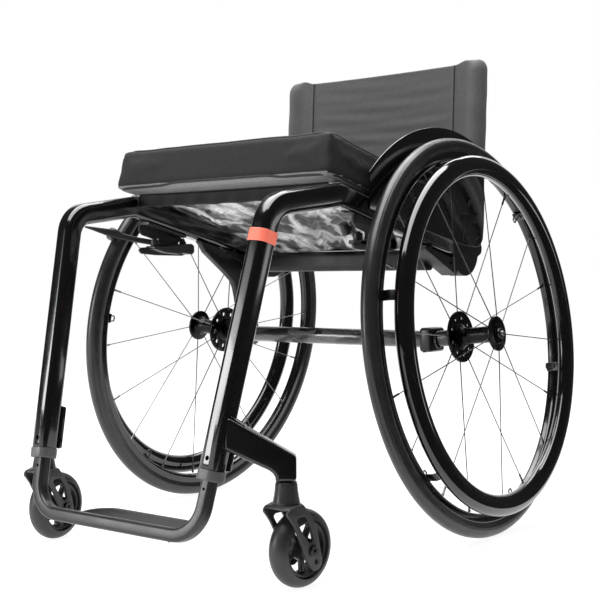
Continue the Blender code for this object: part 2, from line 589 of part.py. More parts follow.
for sign, label, phase, first in ((1, "left", -4.1, 0), (-1, "right", 4.4, 1)):
    # Angles are read from the rear towards the top; local X is down or up and local Y is the chair's Y.
    wheel = bpy.data.objects.new(label + "_wheel", None)
    parts.objects.link(wheel)
    place(wheel, (sign * HALF_TRACK, 0, AXLE_Z), (0, sign * (math.pi / 2 - CAMBER), 0))
    zero = math.radians(90 + sign * phase)

    bed = RIM_OUT + GAP
    angles = [math.radians(126 - 42 * i) - CAMBER for i in range(7)]
    profile = [(WHEEL_R - TYRE_R + TYRE_R * math.cos(t), TYRE_R * math.sin(t)) for t in angles]
    profile += [(bed, -0.0088), (bed, 0.0088)]
    add(label + "_tyre", turned(label + "_tyre", profile, WHEEL_STEPS, True), material(label + "_tyre_rubber", RUBBER, 0.6),
        parent=wheel)
    profile = [(RIM_OUT, RIM_HALF), (RIM_OUT, -RIM_HALF), (RIM_IN + 0.0030, -0.0080), (RIM_IN, -0.0060),
               (RIM_IN, 0.0060), (RIM_IN + 0.0030, 0.0080)]
    add(label + "_rim", turned(label + "_rim", profile, WHEEL_STEPS, True), material(label + "_rim_paint", GLOSS, 0.2),
        parent=wheel)

    hub = add(label + "_hub_and_spokes", turned(label + "_hub", hub_profile, 14, True),
              material(label + "_hub_anodised", (0.018, 0.018, 0.019), 0.3, 0.5), parent=wheel)
    join(hub, add(label + "_spokes", spoke_mesh(zero, first), parent=wheel))
    cut(hub, add(label + "_flange_holes", flange_cutter(zero, first), parent=wheel))

    rim_mat = material(label + "_handrim_paint", GLOSS, 0.12)
    handrim = turned(label + "_handrim", oval_profile(HANDRIM_R, HANDRIM_TALL, HANDRIM_WIDE, HANDRIM_OFF, 8),
                     WHEEL_STEPS, True)
    handrim = add(label + "_handrim", handrim, rim_mat, parent=wheel)
    for k in range(6):
        a = zero + sign * math.radians(-10 + 60 * k)
        strap = block("strap", (RIM_FLAT - GAP - 0.003, -0.0075, -0.0085), (RIM_FLAT - 0.0004, 0.0075, HANDRIM_OFF - 0.006))
        nut = cylinder("nut", 0.0040, (RIM_IN - 0.0140, 0, -0.0035), (RIM_IN - 0.002, 0, -0.0035), 5)
        for kind, mesh in (("strap", strap), ("nut", nut)):
            piece = add(label + "_" + kind + str(k), mesh, rotation=(0, 0, a), parent=wheel)
            join(handrim, piece)

    valve_at = zero + sign * math.radians(130)
    profile = [(0, 0.0277), (0.0030, 0.0277), (0.0036, 0.0267), (0.0036, 0.0150), (0.0024, 0.0145), (0.0024, GAP), (0, GAP)]
    spin = Matrix.Rotation(valve_at, 3, "Z") @ Matrix.Rotation(-math.pi / 2, 3, "Y")
    foot = Vector((math.cos(valve_at), math.sin(valve_at), 0)) * RIM_FLAT
    add(label + "_tyre_valve", turned(label + "_valve", profile, 10), material(label + "_valve_black", PLASTIC, 0.4),
        location=foot, rotation=spin.to_euler(), parent=wheel)

    # Angled plug in the end of the axle tube, the axle through the hub and its release button
    plug_end = HUB_IN - RUN
    base = -(HALF_TRACK - TUBE_X) / math.cos(CAMBER)
    profile = [(0.0085, plug_end), (0.0095, plug_end - 0.001), (0.0095, plug_end - 0.010), (0.0125, plug_end - 0.011),
               (0.0125, base + 0.0022), (0.0090, base + 0.0022), (0.0090, base - 0.022), (AXLE_R + GAP, base - 0.022),
               (AXLE_R + GAP, plug_end)]
    add(label + "_camber_plug", turned(label + "_camber_plug", profile, 14, True),
        material(label + "_plug_alloy", (0.16, 0.16, 0.16), 0.35, 0.8), parent=wheel)

    tip, bore = HUB_OUT + 0.0006, 0.0041
    profile = [(0, tip - 0.016), (bore, tip - 0.016), (bore, tip + 0.0030), (0.0078, tip + 0.0030),
               (0.0088, tip + 0.0022), (0.0088, tip), (AXLE_R, tip), (AXLE_R, base - 0.016), (0.0045, base - 0.019),
               (0, base - 0.019)]
    add(label + "_quick_release_axle", turned(label + "_quick_axle", profile, 14),
        material(label + "_axle_steel", (0.22, 0.22, 0.22), 0.3, 0.9), parent=wheel)
    profile = [(0, tip + 0.0072), (0.0030, tip + 0.0072), (0.0037, tip + 0.0066), (0.0037, tip - 0.010), (0, tip - 0.010)]
    add(label + "_release_button", turned(label + "_button", profile, 14),
        material(label + "_button_steel", (0.30, 0.30, 0.30), 0.3, 0.9), parent=wheel)

# Side guards: thin plates on the outside of the rails, their edge following the wheel
guard_x = SEAT_HALF + RAIL_W / 2 + GAP
guard_front, guard_back = -0.2150, 0.1290
top = [(y, AXLE_Z + math.sqrt(0.3213 ** 2 - y * y)) for y in
       (guard_front + (0.096 - guard_front) * i / 14 for i in range(15))]
guard_outline = [(guard_front, rail_at(guard_front).z - 0.004)] + top + arc((0.103, 0.580), 0.024, 60, 0, 4)
guard_outline += [(guard_back, 0.5150), (0.1275, 0.4800), (0.1235, 0.4550), (0.1150, 0.4450), (0.1000, 0.4420),
                  (0.0600, 0.4440)]
for sign, label in ((1, "left"), (-1, "right")):
    guard = plate("guard", guard_outline, guard_x, guard_x + 0.002)
    add(label + "_side_guard", side(sign, guard, label + "_guard"), material(label + "_guard_gloss", GLOSS, 0.12))

# Seat: a thin sling between the rails with a folded front hem, and the cushion on it
sling_half = SEAT_HALF + 0.004
SLING_T = 0.0025
bm = bmesh.new()
bmesh.ops.create_grid(bm, x_segments=12, y_segments=6, size=0.5)
sling_y0, sling_y1 = -0.2700, 0.0250
across = (-1, -0.93, -0.86, -0.62, -0.40, -0.20, 0, 0.20, 0.40, 0.62, 0.86, 0.93, 1)
for vert in bm.verts:
    u, v = across[round((vert.co.x + 0.5) * 12)], vert.co.y + 0.5
    y = sling_y0 + (sling_y1 - sling_y0) * v
    open_u = min(1, abs(u) * sling_half / (SEAT_HALF - RAIL_W / 2 - 0.001))
    sag = 0.010 * (1 - open_u ** 2) * math.sin(math.pi * min(1, v * 0.96 + 0.08))
    vert.co = (sling_half * u, y, rail_top(y) + GAP + SLING_T - sag)
lip_x = SEAT_HALF - RAIL_W / 2 - 0.001
lip = [e for e in bm.edges if all(v.co.y < sling_y0 + 0.0001 and abs(v.co.x) < lip_x for v in e.verts)]
drop = [g for g in bmesh.ops.extrude_edge_only(bm, edges=lip)["geom"] if isinstance(g, bmesh.types.BMVert)]
bmesh.ops.translate(bm, vec=(0, -0.0040, -0.0190), verts=drop)
bmesh.ops.recalc_face_normals(bm, faces=bm.faces)
if max(bm.faces, key=lambda f: f.calc_area()).normal.z < 0:
    bmesh.ops.reverse_faces(bm, faces=bm.faces)
mesh = bpy.data.meshes.new("seat_sling")
bm.to_mesh(mesh)
bm.free()
mesh.shade_smooth()
sling = add("seat_sling", mesh, material("seat_sling_fabric", (0.05, 0.05, 0.05), 0.85))
mod = sling.modifiers.new("thickness", "SOLIDIFY")
mod.thickness, mod.offset = SLING_T, -1

bm = bmesh.new()
bmesh.ops.create_cube(bm, size=2)
bmesh.ops.subdivide_edges(bm, edges=bm.edges, cuts=3, use_grid_fill=True)
steps = (-1, -0.90, 0, 0.90, 1)
up_steps = (-1, -0.66, 0, 0.66, 1)


def spread(value, table):
    return table[round((value + 1) * 2)]


for vert in bm.verts:
    u, v, w = spread(vert.co.x, steps), spread(vert.co.y, steps), spread(vert.co.z, up_steps)
    lift = (w + 1) / 2
    half = CUSHION_HALF - 0.007 * lift - 0.0035 * (1 - v * v) * (1 - w * w)
    y0 = CUSHION_Y0 + 0.014 * lift + 0.003 * (1 - u * u) * (1 - w * w)
    y1 = CUSHION_Y1 - 0.006 * lift
    y = y0 + (y1 - y0) * (v + 1) / 2
    base_z = rail_top(y) + GAP + SLING_T + GAP
    crown = 0.006 * (1 - u ** 4) * (1 - v ** 4) * lift
    vert.co = (half * u, y, base_z + CUSHION_T * lift + crown)
cushion = add("seat_cushion", finish(bm, "seat_cushion"), material("cushion_fabric", (0.040, 0.040, 0.040), 0.9))
mod = cushion.modifiers.new("soft", "SUBSURF")
mod.levels = mod.render_levels = 1


# Backrest: hinge plates on the rails, canes on their pivots, a bar between the canes and the sling over them
def cane_at(z, sign=1):
    return Vector((sign * CANE_X, CANE_BASE_Y + CANE_LEAN * (z - CANE_BASE_Z), z))


bracket_x0, bracket_x1 = SEAT_HALF - RAIL_W / 2, SEAT_HALF + RAIL_W / 2
cheek_t = 0.0065
end_y = RAIL_END_Y + GAP
lean = RAIL_H / 2 * RAIL_DROP
hinge_outline = [(-0.0560, rail_bottom(-0.056) - GAP), (-0.0560, bracket_bottom(-0.056)), (0.0380, bracket_bottom(0.038))]
hinge_outline += arc((0.0700, 0.4370), 0.0420, 230, 345, 7)
hinge_outline += arc((PIVOT_Y, PIVOT_Z), 0.0145, -35, 85, 5) + [(0.0900, 0.4560)]
hinge_outline += [(end_y + lean + 0.0002, rail_top(end_y) - 0.001), (end_y - lean, rail_bottom(end_y) - GAP)]
pivot = (PIVOT_Y, PIVOT_Z)
lug_x0 = bracket_x0 + cheek_t + GAP
lug_x1 = bracket_x1 - cheek_t - GAP
lug_outline = arc(pivot, 0.0125, 150, 330, 8) + [(0.1310, 0.4480), (0.1400, 0.4640), (0.1240, 0.4640)]

back = bpy.data.objects.new("backrest", None)
parts.objects.link(back)
place(back, (0, PIVOT_Y, PIVOT_Z))


def on_back(mesh):
    """Moves a mesh made in the chair's frame so that it can hang on the backrest's empty."""
    mesh.transform(Matrix.Translation((0, -PIVOT_Y, -PIVOT_Z)))
    return mesh


for sign, label in ((1, "left"), (-1, "right")):
    mat = material(label + "_hinge_paint", (0.03, 0.03, 0.03), 0.4)
    hinge = plate("hinge", hinge_outline, bracket_x0, bracket_x1, 0.0015)
    hinge = add(label + "_hinge_bracket", side(sign, hinge, label + "_hinge"), mat)
    slot = block("slot", (bracket_x0 + cheek_t, 0.0930, 0.4230), (bracket_x1 - cheek_t, 0.20, 0.50))
    cut(hinge, add(label + "_hinge_slot", side(sign, slot, label + "_slot")))
    pin = cylinder("pin", 0.0050, (bracket_x0 + 0.002, *pivot), (bracket_x1 - 0.002, *pivot), 16)
    join(hinge, add(label + "_hinge_pin", side(sign, pin, label + "_pin")))

    tube = cylinder("cane", CANE_R, cane_at(CANE_BASE_Z), cane_at(CANE_TOP_Z), 20)
    mat = material(label + "_cane_paint", (0.02, 0.02, 0.02), 0.3)
    cane = add(label + "_back_cane", on_back(side(sign, tube, label + "_cane")), mat, parent=back)
    lug = plate("lug", lug_outline, lug_x0, lug_x1, 0.0)
    lug = add(label + "_lug", on_back(side(sign, lug, label + "_lug")), parent=back)
    bore = cylinder("bore", 0.0053, (bracket_x0, *pivot), (bracket_x1, *pivot), 16)
    join(cane, lug)
    cut(cane, add(label + "_lug_bore", on_back(side(sign, bore, label + "_lug_bore")), parent=back))

brace_z = 0.4950
ends = [cane_at(brace_z, -1), cane_at(brace_z, 1)]
inset = Vector((CANE_R * 0.97 + GAP, 0, 0))
bow = Vector((0, 0.030, 0))
brace_path = fillet([ends[0] + inset, ends[0] + Vector((0.045, 0.030, 0)), ends[1] + Vector((-0.045, 0.030, 0)),
                     ends[1] - inset], [0.025, 0.025], 5)
brace = add("backrest_brace", on_back(bent_tube("brace", brace_path, 0.008)),
            material("brace_paint", (0.02, 0.02, 0.02), 0.3), parent=back)
for sign, label in ((1, "left"), (-1, "right")):
    room = cylinder("room", CANE_R + GAP, cane_at(CANE_BASE_Z), cane_at(CANE_TOP_Z), 20)
    cut(brace, add(label + "_brace_room", on_back(side(sign, room, label + "_brace_room")), parent=back))

bm = bmesh.new()
bmesh.ops.create_grid(bm, x_segments=12, y_segments=6, size=0.5)
sling_edge = CANE_X + 0.002
brace_top = brace_z + 0.012
for vert in bm.verts:
    u, v = vert.co.x * 2, vert.co.y + 0.5
    top_z = BACK_TOP_Z + 0.006 * u ** 6
    z = brace_top + (top_z - brace_top) * v
    sag = 0.016 * (1 - u * u) * (1 - 0.4 * v)
    vert.co = (sling_edge * u, cane_at(z).y - 0.0100 + sag, z)
bmesh.ops.recalc_face_normals(bm, faces=bm.faces)
if max(bm.faces, key=lambda f: f.calc_area()).normal.y > 0:
    bmesh.ops.reverse_faces(bm, faces=bm.faces)
mesh = bpy.data.meshes.new("backrest_sling")
bm.to_mesh(mesh)
bm.free()
mesh.shade_smooth()
sling = add("backrest_sling", on_back(mesh), material("backrest_fabric", (0.11, 0.11, 0.107), 0.9), parent=back)
mod = sling.modifiers.new("thickness", "SOLIDIFY")
mod.thickness, mod.offset = 0.005, -1
for sign, label in ((1, "left"), (-1, "right")):
    low, high = cane_at(BACK_HEM_Z), cane_at(BACK_TOP_Z + 0.006)
    shapes = [round_section(SLEEVE_R, 20)] * 2 + [round_section(SLEEVE_R - 0.004, 20)]
    sleeve = swept("sleeve", [low, high - (high - low).normalized() * 0.004, high], shapes)
    join(sling, add(label + "_sleeve", on_back(side(sign, sleeve, label + "_sleeve")), parent=back))
for sign, label in ((1, "left"), (-1, "right")):
    room = cylinder("room", CANE_R + 0.0005, cane_at(CANE_BASE_Z - 0.02), cane_at(CANE_TOP_Z + 0.001), 20)
    cut(sling, add(label + "_sleeve_room", on_back(side(sign, room, label + "_sleeve_room")), parent=back))
brace_line = [ends[0]] + brace_path + [ends[1]]
cut(sling, add("sling_brace_room", on_back(bent_tube("sling_brace_room", brace_line, 0.0095)), parent=back))


# Brakes: a mount under each rail and a lever that swings on an upright pin, its pad pressing the tread from the front.
# The right brake is on. The left one is folded back under the seat.
def under(y, drop):
    return rail_bottom(y) - GAP - drop


# The pad lies along the tread, its middle one pad radius off the tyre when the brake is on
pad_reach = WHEEL_R + PAD_R + GAP
pad_sine = (PAD_Z - AXLE_Z) / math.cos(CAMBER) / pad_reach
pad_y = -pad_reach * math.sqrt(1 - pad_sine ** 2)
pad_at = (BRAKE_Y - pad_y + PAD_OUT * math.sin(BRAKE_ON)) / math.cos(BRAKE_ON)
pad_mid = Vector((PAD_OUT, -pad_at, PAD_Z))
pad_axis = Vector((math.sin(BRAKE_ON) * pad_sine, math.cos(BRAKE_ON) * pad_sine, math.sqrt(1 - pad_sine ** 2))) * PAD_HALF
web_x0, web_x1 = SEAT_HALF + 0.0075, SEAT_HALF + 0.0115
hub_z0, hub_z1 = 0.4460, 0.4560
ledge_z = hub_z0 - GAP
saddle = [(-0.2480, under(-0.248, 0)), (-0.2480, under(-0.248, 0.004)), (-0.1600, under(-0.160, 0.004)),
          (-0.1600, under(-0.160, 0))]
web = [(-0.2150, under(-0.215, 0.002)), (-0.2150, 0.4400), (-0.1650, 0.4330), (-0.1650, under(-0.165, 0.002))]
body = [(-0.2320, ledge_z), (-0.2120, ledge_z), (-0.1440, 0.4510), (-0.1380, 0.4480), (-0.1370, 0.4380), (-0.1420, 0.4330),
        (-0.1650, 0.4350), (-0.1710, 0.4330), (-0.2050, 0.4350), (-0.2320, 0.4405)]
for sign, label in ((1, "left"), (-1, "right")):
    mat = material(label + "_brake_mount_paint", (0.03, 0.03, 0.03), 0.45)
    mount = plate("saddle", saddle, SEAT_HALF - 0.012, web_x1)
    mount = add(label + "_brake_mount", side(sign, mount, label + "_mount"), mat)
    pin = cylinder("pin", 0.0036, (BRAKE_X, BRAKE_Y, ledge_z - 0.002), (BRAKE_X, BRAKE_Y, hub_z1 + 0.002), 12)
    for kind, mesh in (("web", plate("web", web, web_x0, web_x1)), ("pin", pin),
                       ("body", plate("body", body, SEAT_HALF - 0.0095, web_x1, 0.001))):
        join(mount, add(label + "_brake_" + kind, side(sign, mesh, label + "_" + kind)))
    for y, z in ((-0.2060, 0.4560), (-0.1900, 0.4560)):
        hole = cylinder("hole", 0.0026, (web_x0 - 0.002, y, z), (web_x1 + 0.002, y, z), 8)
        cut(mount, add(label + "_web_hole" + str(int(-y * 1000)), side(sign, hole, label + "_web_hole")))

    # The lever is made along -Y from its pin, then turned to where it stands
    line = [Vector((0, -d, z)) for d, z in ((0.0, 0.4510), (0.030, 0.4560), (0.052, 0.4610), (0.062, 0.4650),
                                            (0.078, 0.4685), (0.100, 0.4740), (BRAKE_LEN, 0.4765))]
    sizes = ((0.005, 0.0090), (0.005, 0.0090), (0.005, 0.0100), (0.005, 0.0140), (0.005, 0.0110), (0.005, 0.0055), (0.003, 0.0030))
    lever = swept("lever", line, [section(w, d, w * 0.4, 2) for w, d in sizes])
    hub = cylinder("hub", 0.0068, (0, 0, hub_z0), (0, 0, hub_z1), 16)
    plug = block("pad_holder", (0.001, -pad_at - 0.004, PAD_Z - 0.004), (PAD_OUT - 0.0028, -pad_at + 0.004, PAD_Z + 0.004))
    bore = cylinder("bore", 0.0039, (0, 0, hub_z0 - 0.01), (0, 0, hub_z1 + 0.01), 14)
    pad = cylinder("pad", PAD_R, pad_mid - pad_axis, pad_mid + pad_axis, 14)
    angle = BRAKE_ON if sign < 0 else BRAKE_FOLDED
    at = dict(location=(sign * BRAKE_X, BRAKE_Y, 0), rotation=(0, 0, sign * angle))
    mat = material(label + "_lever_paint", (0.03, 0.03, 0.03), 0.4)
    lever = add(label + "_brake_lever", side(sign, lever, label + "_lever"), mat, **at)
    hub = add(label + "_lever_hub", side(sign, hub, label + "_lever_hub"), **at)
    join(lever, hub, add(label + "_pad_holder", side(sign, plug, label + "_holder"), **at))
    cut(lever, add(label + "_lever_bore", side(sign, bore, label + "_lever_bore"), **at))
    pad = add(label + "_brake_pad", side(sign, pad, label + "_pad"), material(label + "_pad_rubber", RUBBER, 0.6), **at)
    low, high = Vector((0, -pad_at - 0.004, PAD_Z - 0.004)), Vector((PAD_OUT - 0.0028, -pad_at + 0.004, PAD_Z + 0.004))
    room = block("room", low - Vector((0, GAP, GAP)), high + Vector((GAP, GAP, GAP)))
    cut(pad, add(label + "_pad_room", side(sign, room, label + "_pad_room"), **at))
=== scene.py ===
"""Looks of an active wheelchair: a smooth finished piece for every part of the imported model, in a white studio.

Metres, +Z up. Shapes are drawn in the chair's own measure, with y = 0 at the rear axle, as in the part's source.
"""

import json
import math

import bmesh
import bpy
import numpy as np
from mathutils import Matrix, Vector


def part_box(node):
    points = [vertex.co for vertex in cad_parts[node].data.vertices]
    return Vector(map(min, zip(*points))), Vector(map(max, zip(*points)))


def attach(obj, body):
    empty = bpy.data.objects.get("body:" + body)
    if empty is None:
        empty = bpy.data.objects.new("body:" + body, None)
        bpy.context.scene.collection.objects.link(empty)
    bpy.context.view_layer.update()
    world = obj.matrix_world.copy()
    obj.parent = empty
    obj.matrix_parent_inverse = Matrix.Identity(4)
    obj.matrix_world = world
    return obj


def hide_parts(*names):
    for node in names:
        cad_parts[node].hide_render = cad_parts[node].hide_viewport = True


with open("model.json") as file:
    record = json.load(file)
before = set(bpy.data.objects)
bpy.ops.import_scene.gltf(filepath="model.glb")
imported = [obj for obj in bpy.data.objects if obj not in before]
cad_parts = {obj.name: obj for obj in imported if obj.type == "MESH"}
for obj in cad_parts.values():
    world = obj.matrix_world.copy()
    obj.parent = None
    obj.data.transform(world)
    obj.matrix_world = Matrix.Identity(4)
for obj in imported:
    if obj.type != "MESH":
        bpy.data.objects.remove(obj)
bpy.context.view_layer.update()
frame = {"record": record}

tube_low, tube_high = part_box("axle_tube")
SHIFT = np.array([0.0, (tube_low.y + tube_high.y) / 2, 0.0])
BODY = {node: body for body, nodes in frame["record"]["behaviour"]["bodies"].items() for node in nodes}
SIDES = ((1, "left"), (-1, "right"))

# ---- sizes, as in the part's source
WHEEL_R, TYRE_R, CAMBER, HALF_TRACK = 0.305, 0.012, math.radians(6), 0.2664
SEAT_HALF, GAP = 0.198, 0.0003
LEG_FOOT, LEG_LEAN, KNEE_RISE = np.array([0.158, -0.489, 0.1533]), np.array([0.089, 0.24, 1.0]), 0.3332
SEAT_BEND, RAIL_DROP, RAIL_END_Y = np.array([SEAT_HALF, -0.275, 0.5065]), 0.215, 0.03
LEG_W, LEG_D, RAIL_W, RAIL_H = 0.028, 0.03, 0.028, 0.033
FOOT_TUBE, FOOT_CORNER, FOOT_BAR_Z, FOOT_BEND, FOOT_INSERT, COLLAR_H = 0.018, 0.0048, 0.069, 0.048, 0.075, 0.0133
FOOT_DOWN, FOOT_UP = 0.02, 0.01
CASTER_R, CASTER_HALF, CASTER_TRAIL, CASTER_TOE = 0.05, 0.015, 0.025, math.radians(6.2)
STEM_X, STEM_Y, HOUSING_Z0, HOUSING_Z1 = 0.229, -0.43, 0.1105, 0.138
RIM_OUT, RIM_IN, RIM_HALF = 0.2825, 0.2685, 0.009
HANDRIM_R, HANDRIM_OFF, HANDRIM_TALL, HANDRIM_WIDE = 0.257, 0.0322, 0.016, 0.0125
SPOKES, HUB_OUT, HUB_IN, AXLE_R = 18, 0.0405, -0.031, 0.006
AXLE_Z = TYRE_R + (WHEEL_R - TYRE_R) * math.cos(CAMBER)
TUBE_R, TUBE_X, POST_X, POST_T = 0.0135, 0.203, 0.19, 0.012
TUBE_Z = AXLE_Z - (HALF_TRACK - 0.187) * math.tan(CAMBER)
CLAMP_X, CLAMP_Y, CLAMP_Z = 0.024, 0.044, 0.038
CROSSBAR_Z, CROSSBAR_W, CROSSBAR_H = 0.4205, 0.028, 0.033
PIVOT_Y, PIVOT_Z, CANE_X, CANE_R, CANE_LEAN = 0.11, 0.44, 0.19, 0.0125, 0.064
CANE_BASE_Y, CANE_BASE_Z, CANE_TOP_Z = 0.1364, 0.452, 0.738
BACK_TOP_Z, BACK_HEM_Z, SLEEVE_R, BRACE_Z = 0.753, 0.468, 0.0155, 0.495
CUSHION_T, CUSHION_Y0, CUSHION_Y1, CUSHION_HALF = 0.0665, -0.3015, 0.052, 0.2065
SLING_T, SLING_Y0, SLING_Y1 = 0.0025, -0.27, 0.025
BRAKE_X, BRAKE_Y, BRAKE_LEN = SEAT_HALF + 0.0005, -0.2225, 0.1114
BRAKE_ON, BRAKE_FOLDED = math.radians(40), math.radians(-140)
PAD_R, PAD_OUT, PAD_Z, PAD_HALF = 0.007, 0.0115, 0.465, 0.009
RAIL_HALF_Z = RAIL_H / 2 * math.hypot(1, RAIL_DROP)
RIM_FLAT = RIM_IN * math.cos(math.pi / 40)

# ---- camera, at the photograph's angle
# Its place in metres, its azimuth, pitch and roll in degrees, and its lens in millimetres
CAMERA_AT, CAMERA_LENS = (1.0859, -1.4352, 0.3915), 67.43
CAMERA_TURN, CAMERA_PITCH, CAMERA_ROLL = 36.882, 1.079, -0.251


def aim_camera():
    """The camera looks along its azimuth and down by its pitch, and rolls about that line."""
    turn, pitch, roll = (math.radians(a) for a in (CAMERA_TURN, CAMERA_PITCH, CAMERA_ROLL))
    ahead = Vector((-math.sin(turn) * math.cos(pitch), math.cos(turn) * math.cos(pitch), -math.sin(pitch)))
    right = Vector((math.cos(turn), math.sin(turn), 0))
    up = right.cross(ahead)
    across = right * math.cos(roll) + up * math.sin(roll)
    upward = up * math.cos(roll) - right * math.sin(roll)
    data = bpy.data.cameras.new("photo_camera")
    data.lens, data.sensor_width, data.dof.use_dof = CAMERA_LENS, 36.0, False
    data.clip_start, data.clip_end = 0.05, 60.0
    axes = Matrix((across, upward, -ahead)).transposed()
    camera = linked("photo_camera", data)
    camera.matrix_world = Matrix.Translation(CAMERA_AT) @ axes.to_4x4()
    bpy.context.scene.camera = camera


def linked(name, data):
    """A new object in the scene, with its data."""
    obj = bpy.data.objects.new(name, data)
    bpy.context.scene.collection.objects.link(obj)
    return obj


# ---- materials
def node(tree, kind, **inputs):
    """A node of a kind, with its sockets set or linked by name, or by number as _0, _1 and so on. A name that isn't a
    socket is set on the node itself."""
    made = tree.nodes.new("ShaderNode" + kind)
    for name, value in inputs.items():
        key = int(name[1:]) if name[1:].isdigit() else name.replace("_", " ")
        if isinstance(key, str) and key not in made.inputs:
            setattr(made, name, value)
        elif isinstance(value, bpy.types.NodeSocket):
            tree.links.new(value, made.inputs[key])
        else:
            made.inputs[key].default_value = value
    return made


def paint(name, colour, rough, metal=0.0, coat=0.0, specular=0.5, sheen=0.0, coat_rough=0.03):
    """A plain finish. Every constant is on the shader's own socket."""
    mat = bpy.data.materials.new(name)
    mat.use_nodes = True
    shader = mat.node_tree.nodes["Principled BSDF"]
    colour = (colour,) * 3 if isinstance(colour, float) else colour
    for socket, value in (("Base Color", (*colour, 1)), ("Roughness", rough), ("Metallic", metal),
                          ("Coat Weight", coat), ("Coat Roughness", coat_rough), ("Specular IOR Level", specular),
                          ("Sheen Weight", sheen)):
        shader.inputs[socket].default_value = value
    mat.diffuse_color = (*colour, 1)
    return mat


def object_noise(mat, scale, detail=3.0, stretch=(1, 1, 1)):
    """Noise on Object coordinates, stretched along an axis by a Mapping node."""
    tree = mat.node_tree
    turn = node(tree, "Mapping", Vector=node(tree, "TexCoord").outputs["Object"], Scale=stretch)
    return node(tree, "TexNoise", Vector=turn.outputs["Vector"], Scale=scale, Detail=detail).outputs["Fac"]


def warped(mat, kind, stretch, turn, warp, bend, **inputs):
    """A texture on Object coordinates, stretched and turned, that noise of a scale and detail bends."""
    tree = mat.node_tree
    where = node(tree, "Mapping", Vector=node(tree, "TexCoord").outputs["Object"], Scale=stretch, Rotation=turn)
    coarse = node(tree, "TexNoise", Vector=where.outputs["Vector"], Scale=warp[0], Detail=warp[1])
    bent = node(tree, "VectorMath", operation="MULTIPLY_ADD", _0=coarse.outputs["Color"], _1=bend,
                _2=where.outputs["Vector"])
    return node(tree, kind, Vector=bent.outputs["Vector"], **inputs)


def spread_to(mat, source, socket, low, high, start=0.3, end=0.7):
    """A 0 to 1 pattern stretched between two values into a socket of the shader."""
    tree = mat.node_tree
    ramp = node(tree, "MapRange", Value=source, From_Min=start, From_Max=end, To_Min=low, To_Max=high)
    tree.links.new(ramp.outputs["Result"], tree.nodes["Principled BSDF"].inputs[socket])


def two_tone(mat, source, dark, light, start=0.3, end=0.7):
    """The base colour runs from one tone to another with a pattern."""
    tree = mat.node_tree
    ramp = node(tree, "ValToRGB", Fac=source)
    for stop, at, tone in zip(ramp.color_ramp.elements, (start, end), (dark, light)):
        tone = (tone,) * 3 if isinstance(tone, float) else tone
        stop.position, stop.color = at, (*tone, 1)
    tree.links.new(ramp.outputs["Color"], tree.nodes["Principled BSDF"].inputs["Base Color"])


def raised(mat, source, depth, strength=1.0):
    """A pattern as relief, depth metres high. A second call lies over the first."""
    tree = mat.node_tree
    normal = tree.nodes["Principled BSDF"].inputs["Normal"]
    bump = node(tree, "Bump", Strength=strength, Distance=depth, Height=source)
    if normal.is_linked:
        tree.links.new(normal.links[0].from_socket, bump.inputs["Normal"])
    tree.links.new(bump.outputs["Normal"], normal)


def finish(name, colour, rough, tone, haze, relief, depth, stretch=(1, 1, 1), **more):
    """A paint with patches of tone, patches of haze and a fine relief. Each begins with a noise's scale and detail.
    Tone and haze go on with the factors that the pattern runs between."""
    mat = paint(name, colour, rough, **more)
    if tone:
        two_tone(mat, object_noise(mat, *tone[:2], stretch), colour * tone[2], colour * tone[3])
    spread_to(mat, object_noise(mat, *haze[:2]), "Roughness", rough * haze[2], rough * haze[3])
    raised(mat, object_noise(mat, *relief), depth)
    return mat


def gloss_black(name, colour, rough, coat=0.6):
    """Sprayed gloss black: a faint orange peel under the lacquer and a little haze where it is handled."""
    return finish(name, colour, rough, None, (14, 4, 0.7, 1.5), (420, 1), 0.000012, coat=coat, coat_rough=rough * 0.5)


def powder_black(name, colour, rough, grain=1300, depth=0.00004, metal=0.0):
    """Satin powder coat: a fine even grain, slightly duller in patches."""
    return finish(name, colour, rough, (9, 4, 0.85, 1.2), (30, 3, 0.85, 1.15), (grain, 2), depth, metal=metal)


def moulded(name, colour, rough):
    """Moulded plastic: spark-eroded skin with soft flow marks."""
    return finish(name, colour, rough, (22, 3, 0.85, 1.15), (60, 3, 0.85, 1.15), (1800, 2), 0.00003, (1, 1, 0.4))


def rubber(name, colour, rough):
    """Tyre rubber: dull bloom in patches and a fine sanded grain."""
    return finish(name, colour, rough, (26, 5, 0.8, 1.3), (60, 4, 0.85, 1.2), (900, 3), 0.00006, specular=0.6)


def metal(name, colour, rough):
    """Turned or drawn metal: a fine grain and small changes of sheen."""
    return finish(name, colour, rough, None, (700, 3, 0.7, 1.4), (900, 2), 0.00001, metal=1.0)


# ---- shapes from numpy grids
# Points nearer than this are one point; edges turning more than this many degrees are drawn sharp
DOUBLES, EASED = 0.000004, 32


def unit(v):
    return v / np.maximum(np.linalg.norm(v, axis=-1, keepdims=True), 1e-12)


def shell(points, round_u=False, round_v=True):
    """A grid of points joined into quads. Rows run along u and columns along v, and a round direction meets itself.
    Where u is open and v is round, each end row is closed by one face."""
    rows, cols = points.shape[:2]
    at = np.arange(rows * cols).reshape(rows, cols)
    near = at if round_u else at[:-1]
    far = np.roll(at, -1, 0) if round_u else at[1:]
    quads = np.stack([near, np.roll(near, -1, 1), np.roll(far, -1, 1), far], -1)
    if not round_v:
        quads = quads[:, :-1]
    faces = quads.reshape(-1, 4).tolist()
    if round_v and not round_u:
        faces += [at[0][::-1].tolist(), at[-1].tolist()]
    return points.reshape(-1, 3), faces


def turned(profile, steps, ring=False, matrix=None):
    """A profile of (radius, height) pairs carried once round the Z axis. A ring's profile closes on itself."""
    r, h = np.asarray(profile, float).T
    a = np.linspace(0, math.tau, steps, endpoint=False)[:, None]
    points = np.stack([r * np.cos(a), r * np.sin(a), h + 0 * a], -1)
    made = shell(points, True, ring)
    return moved(made, matrix) if matrix is not None else made


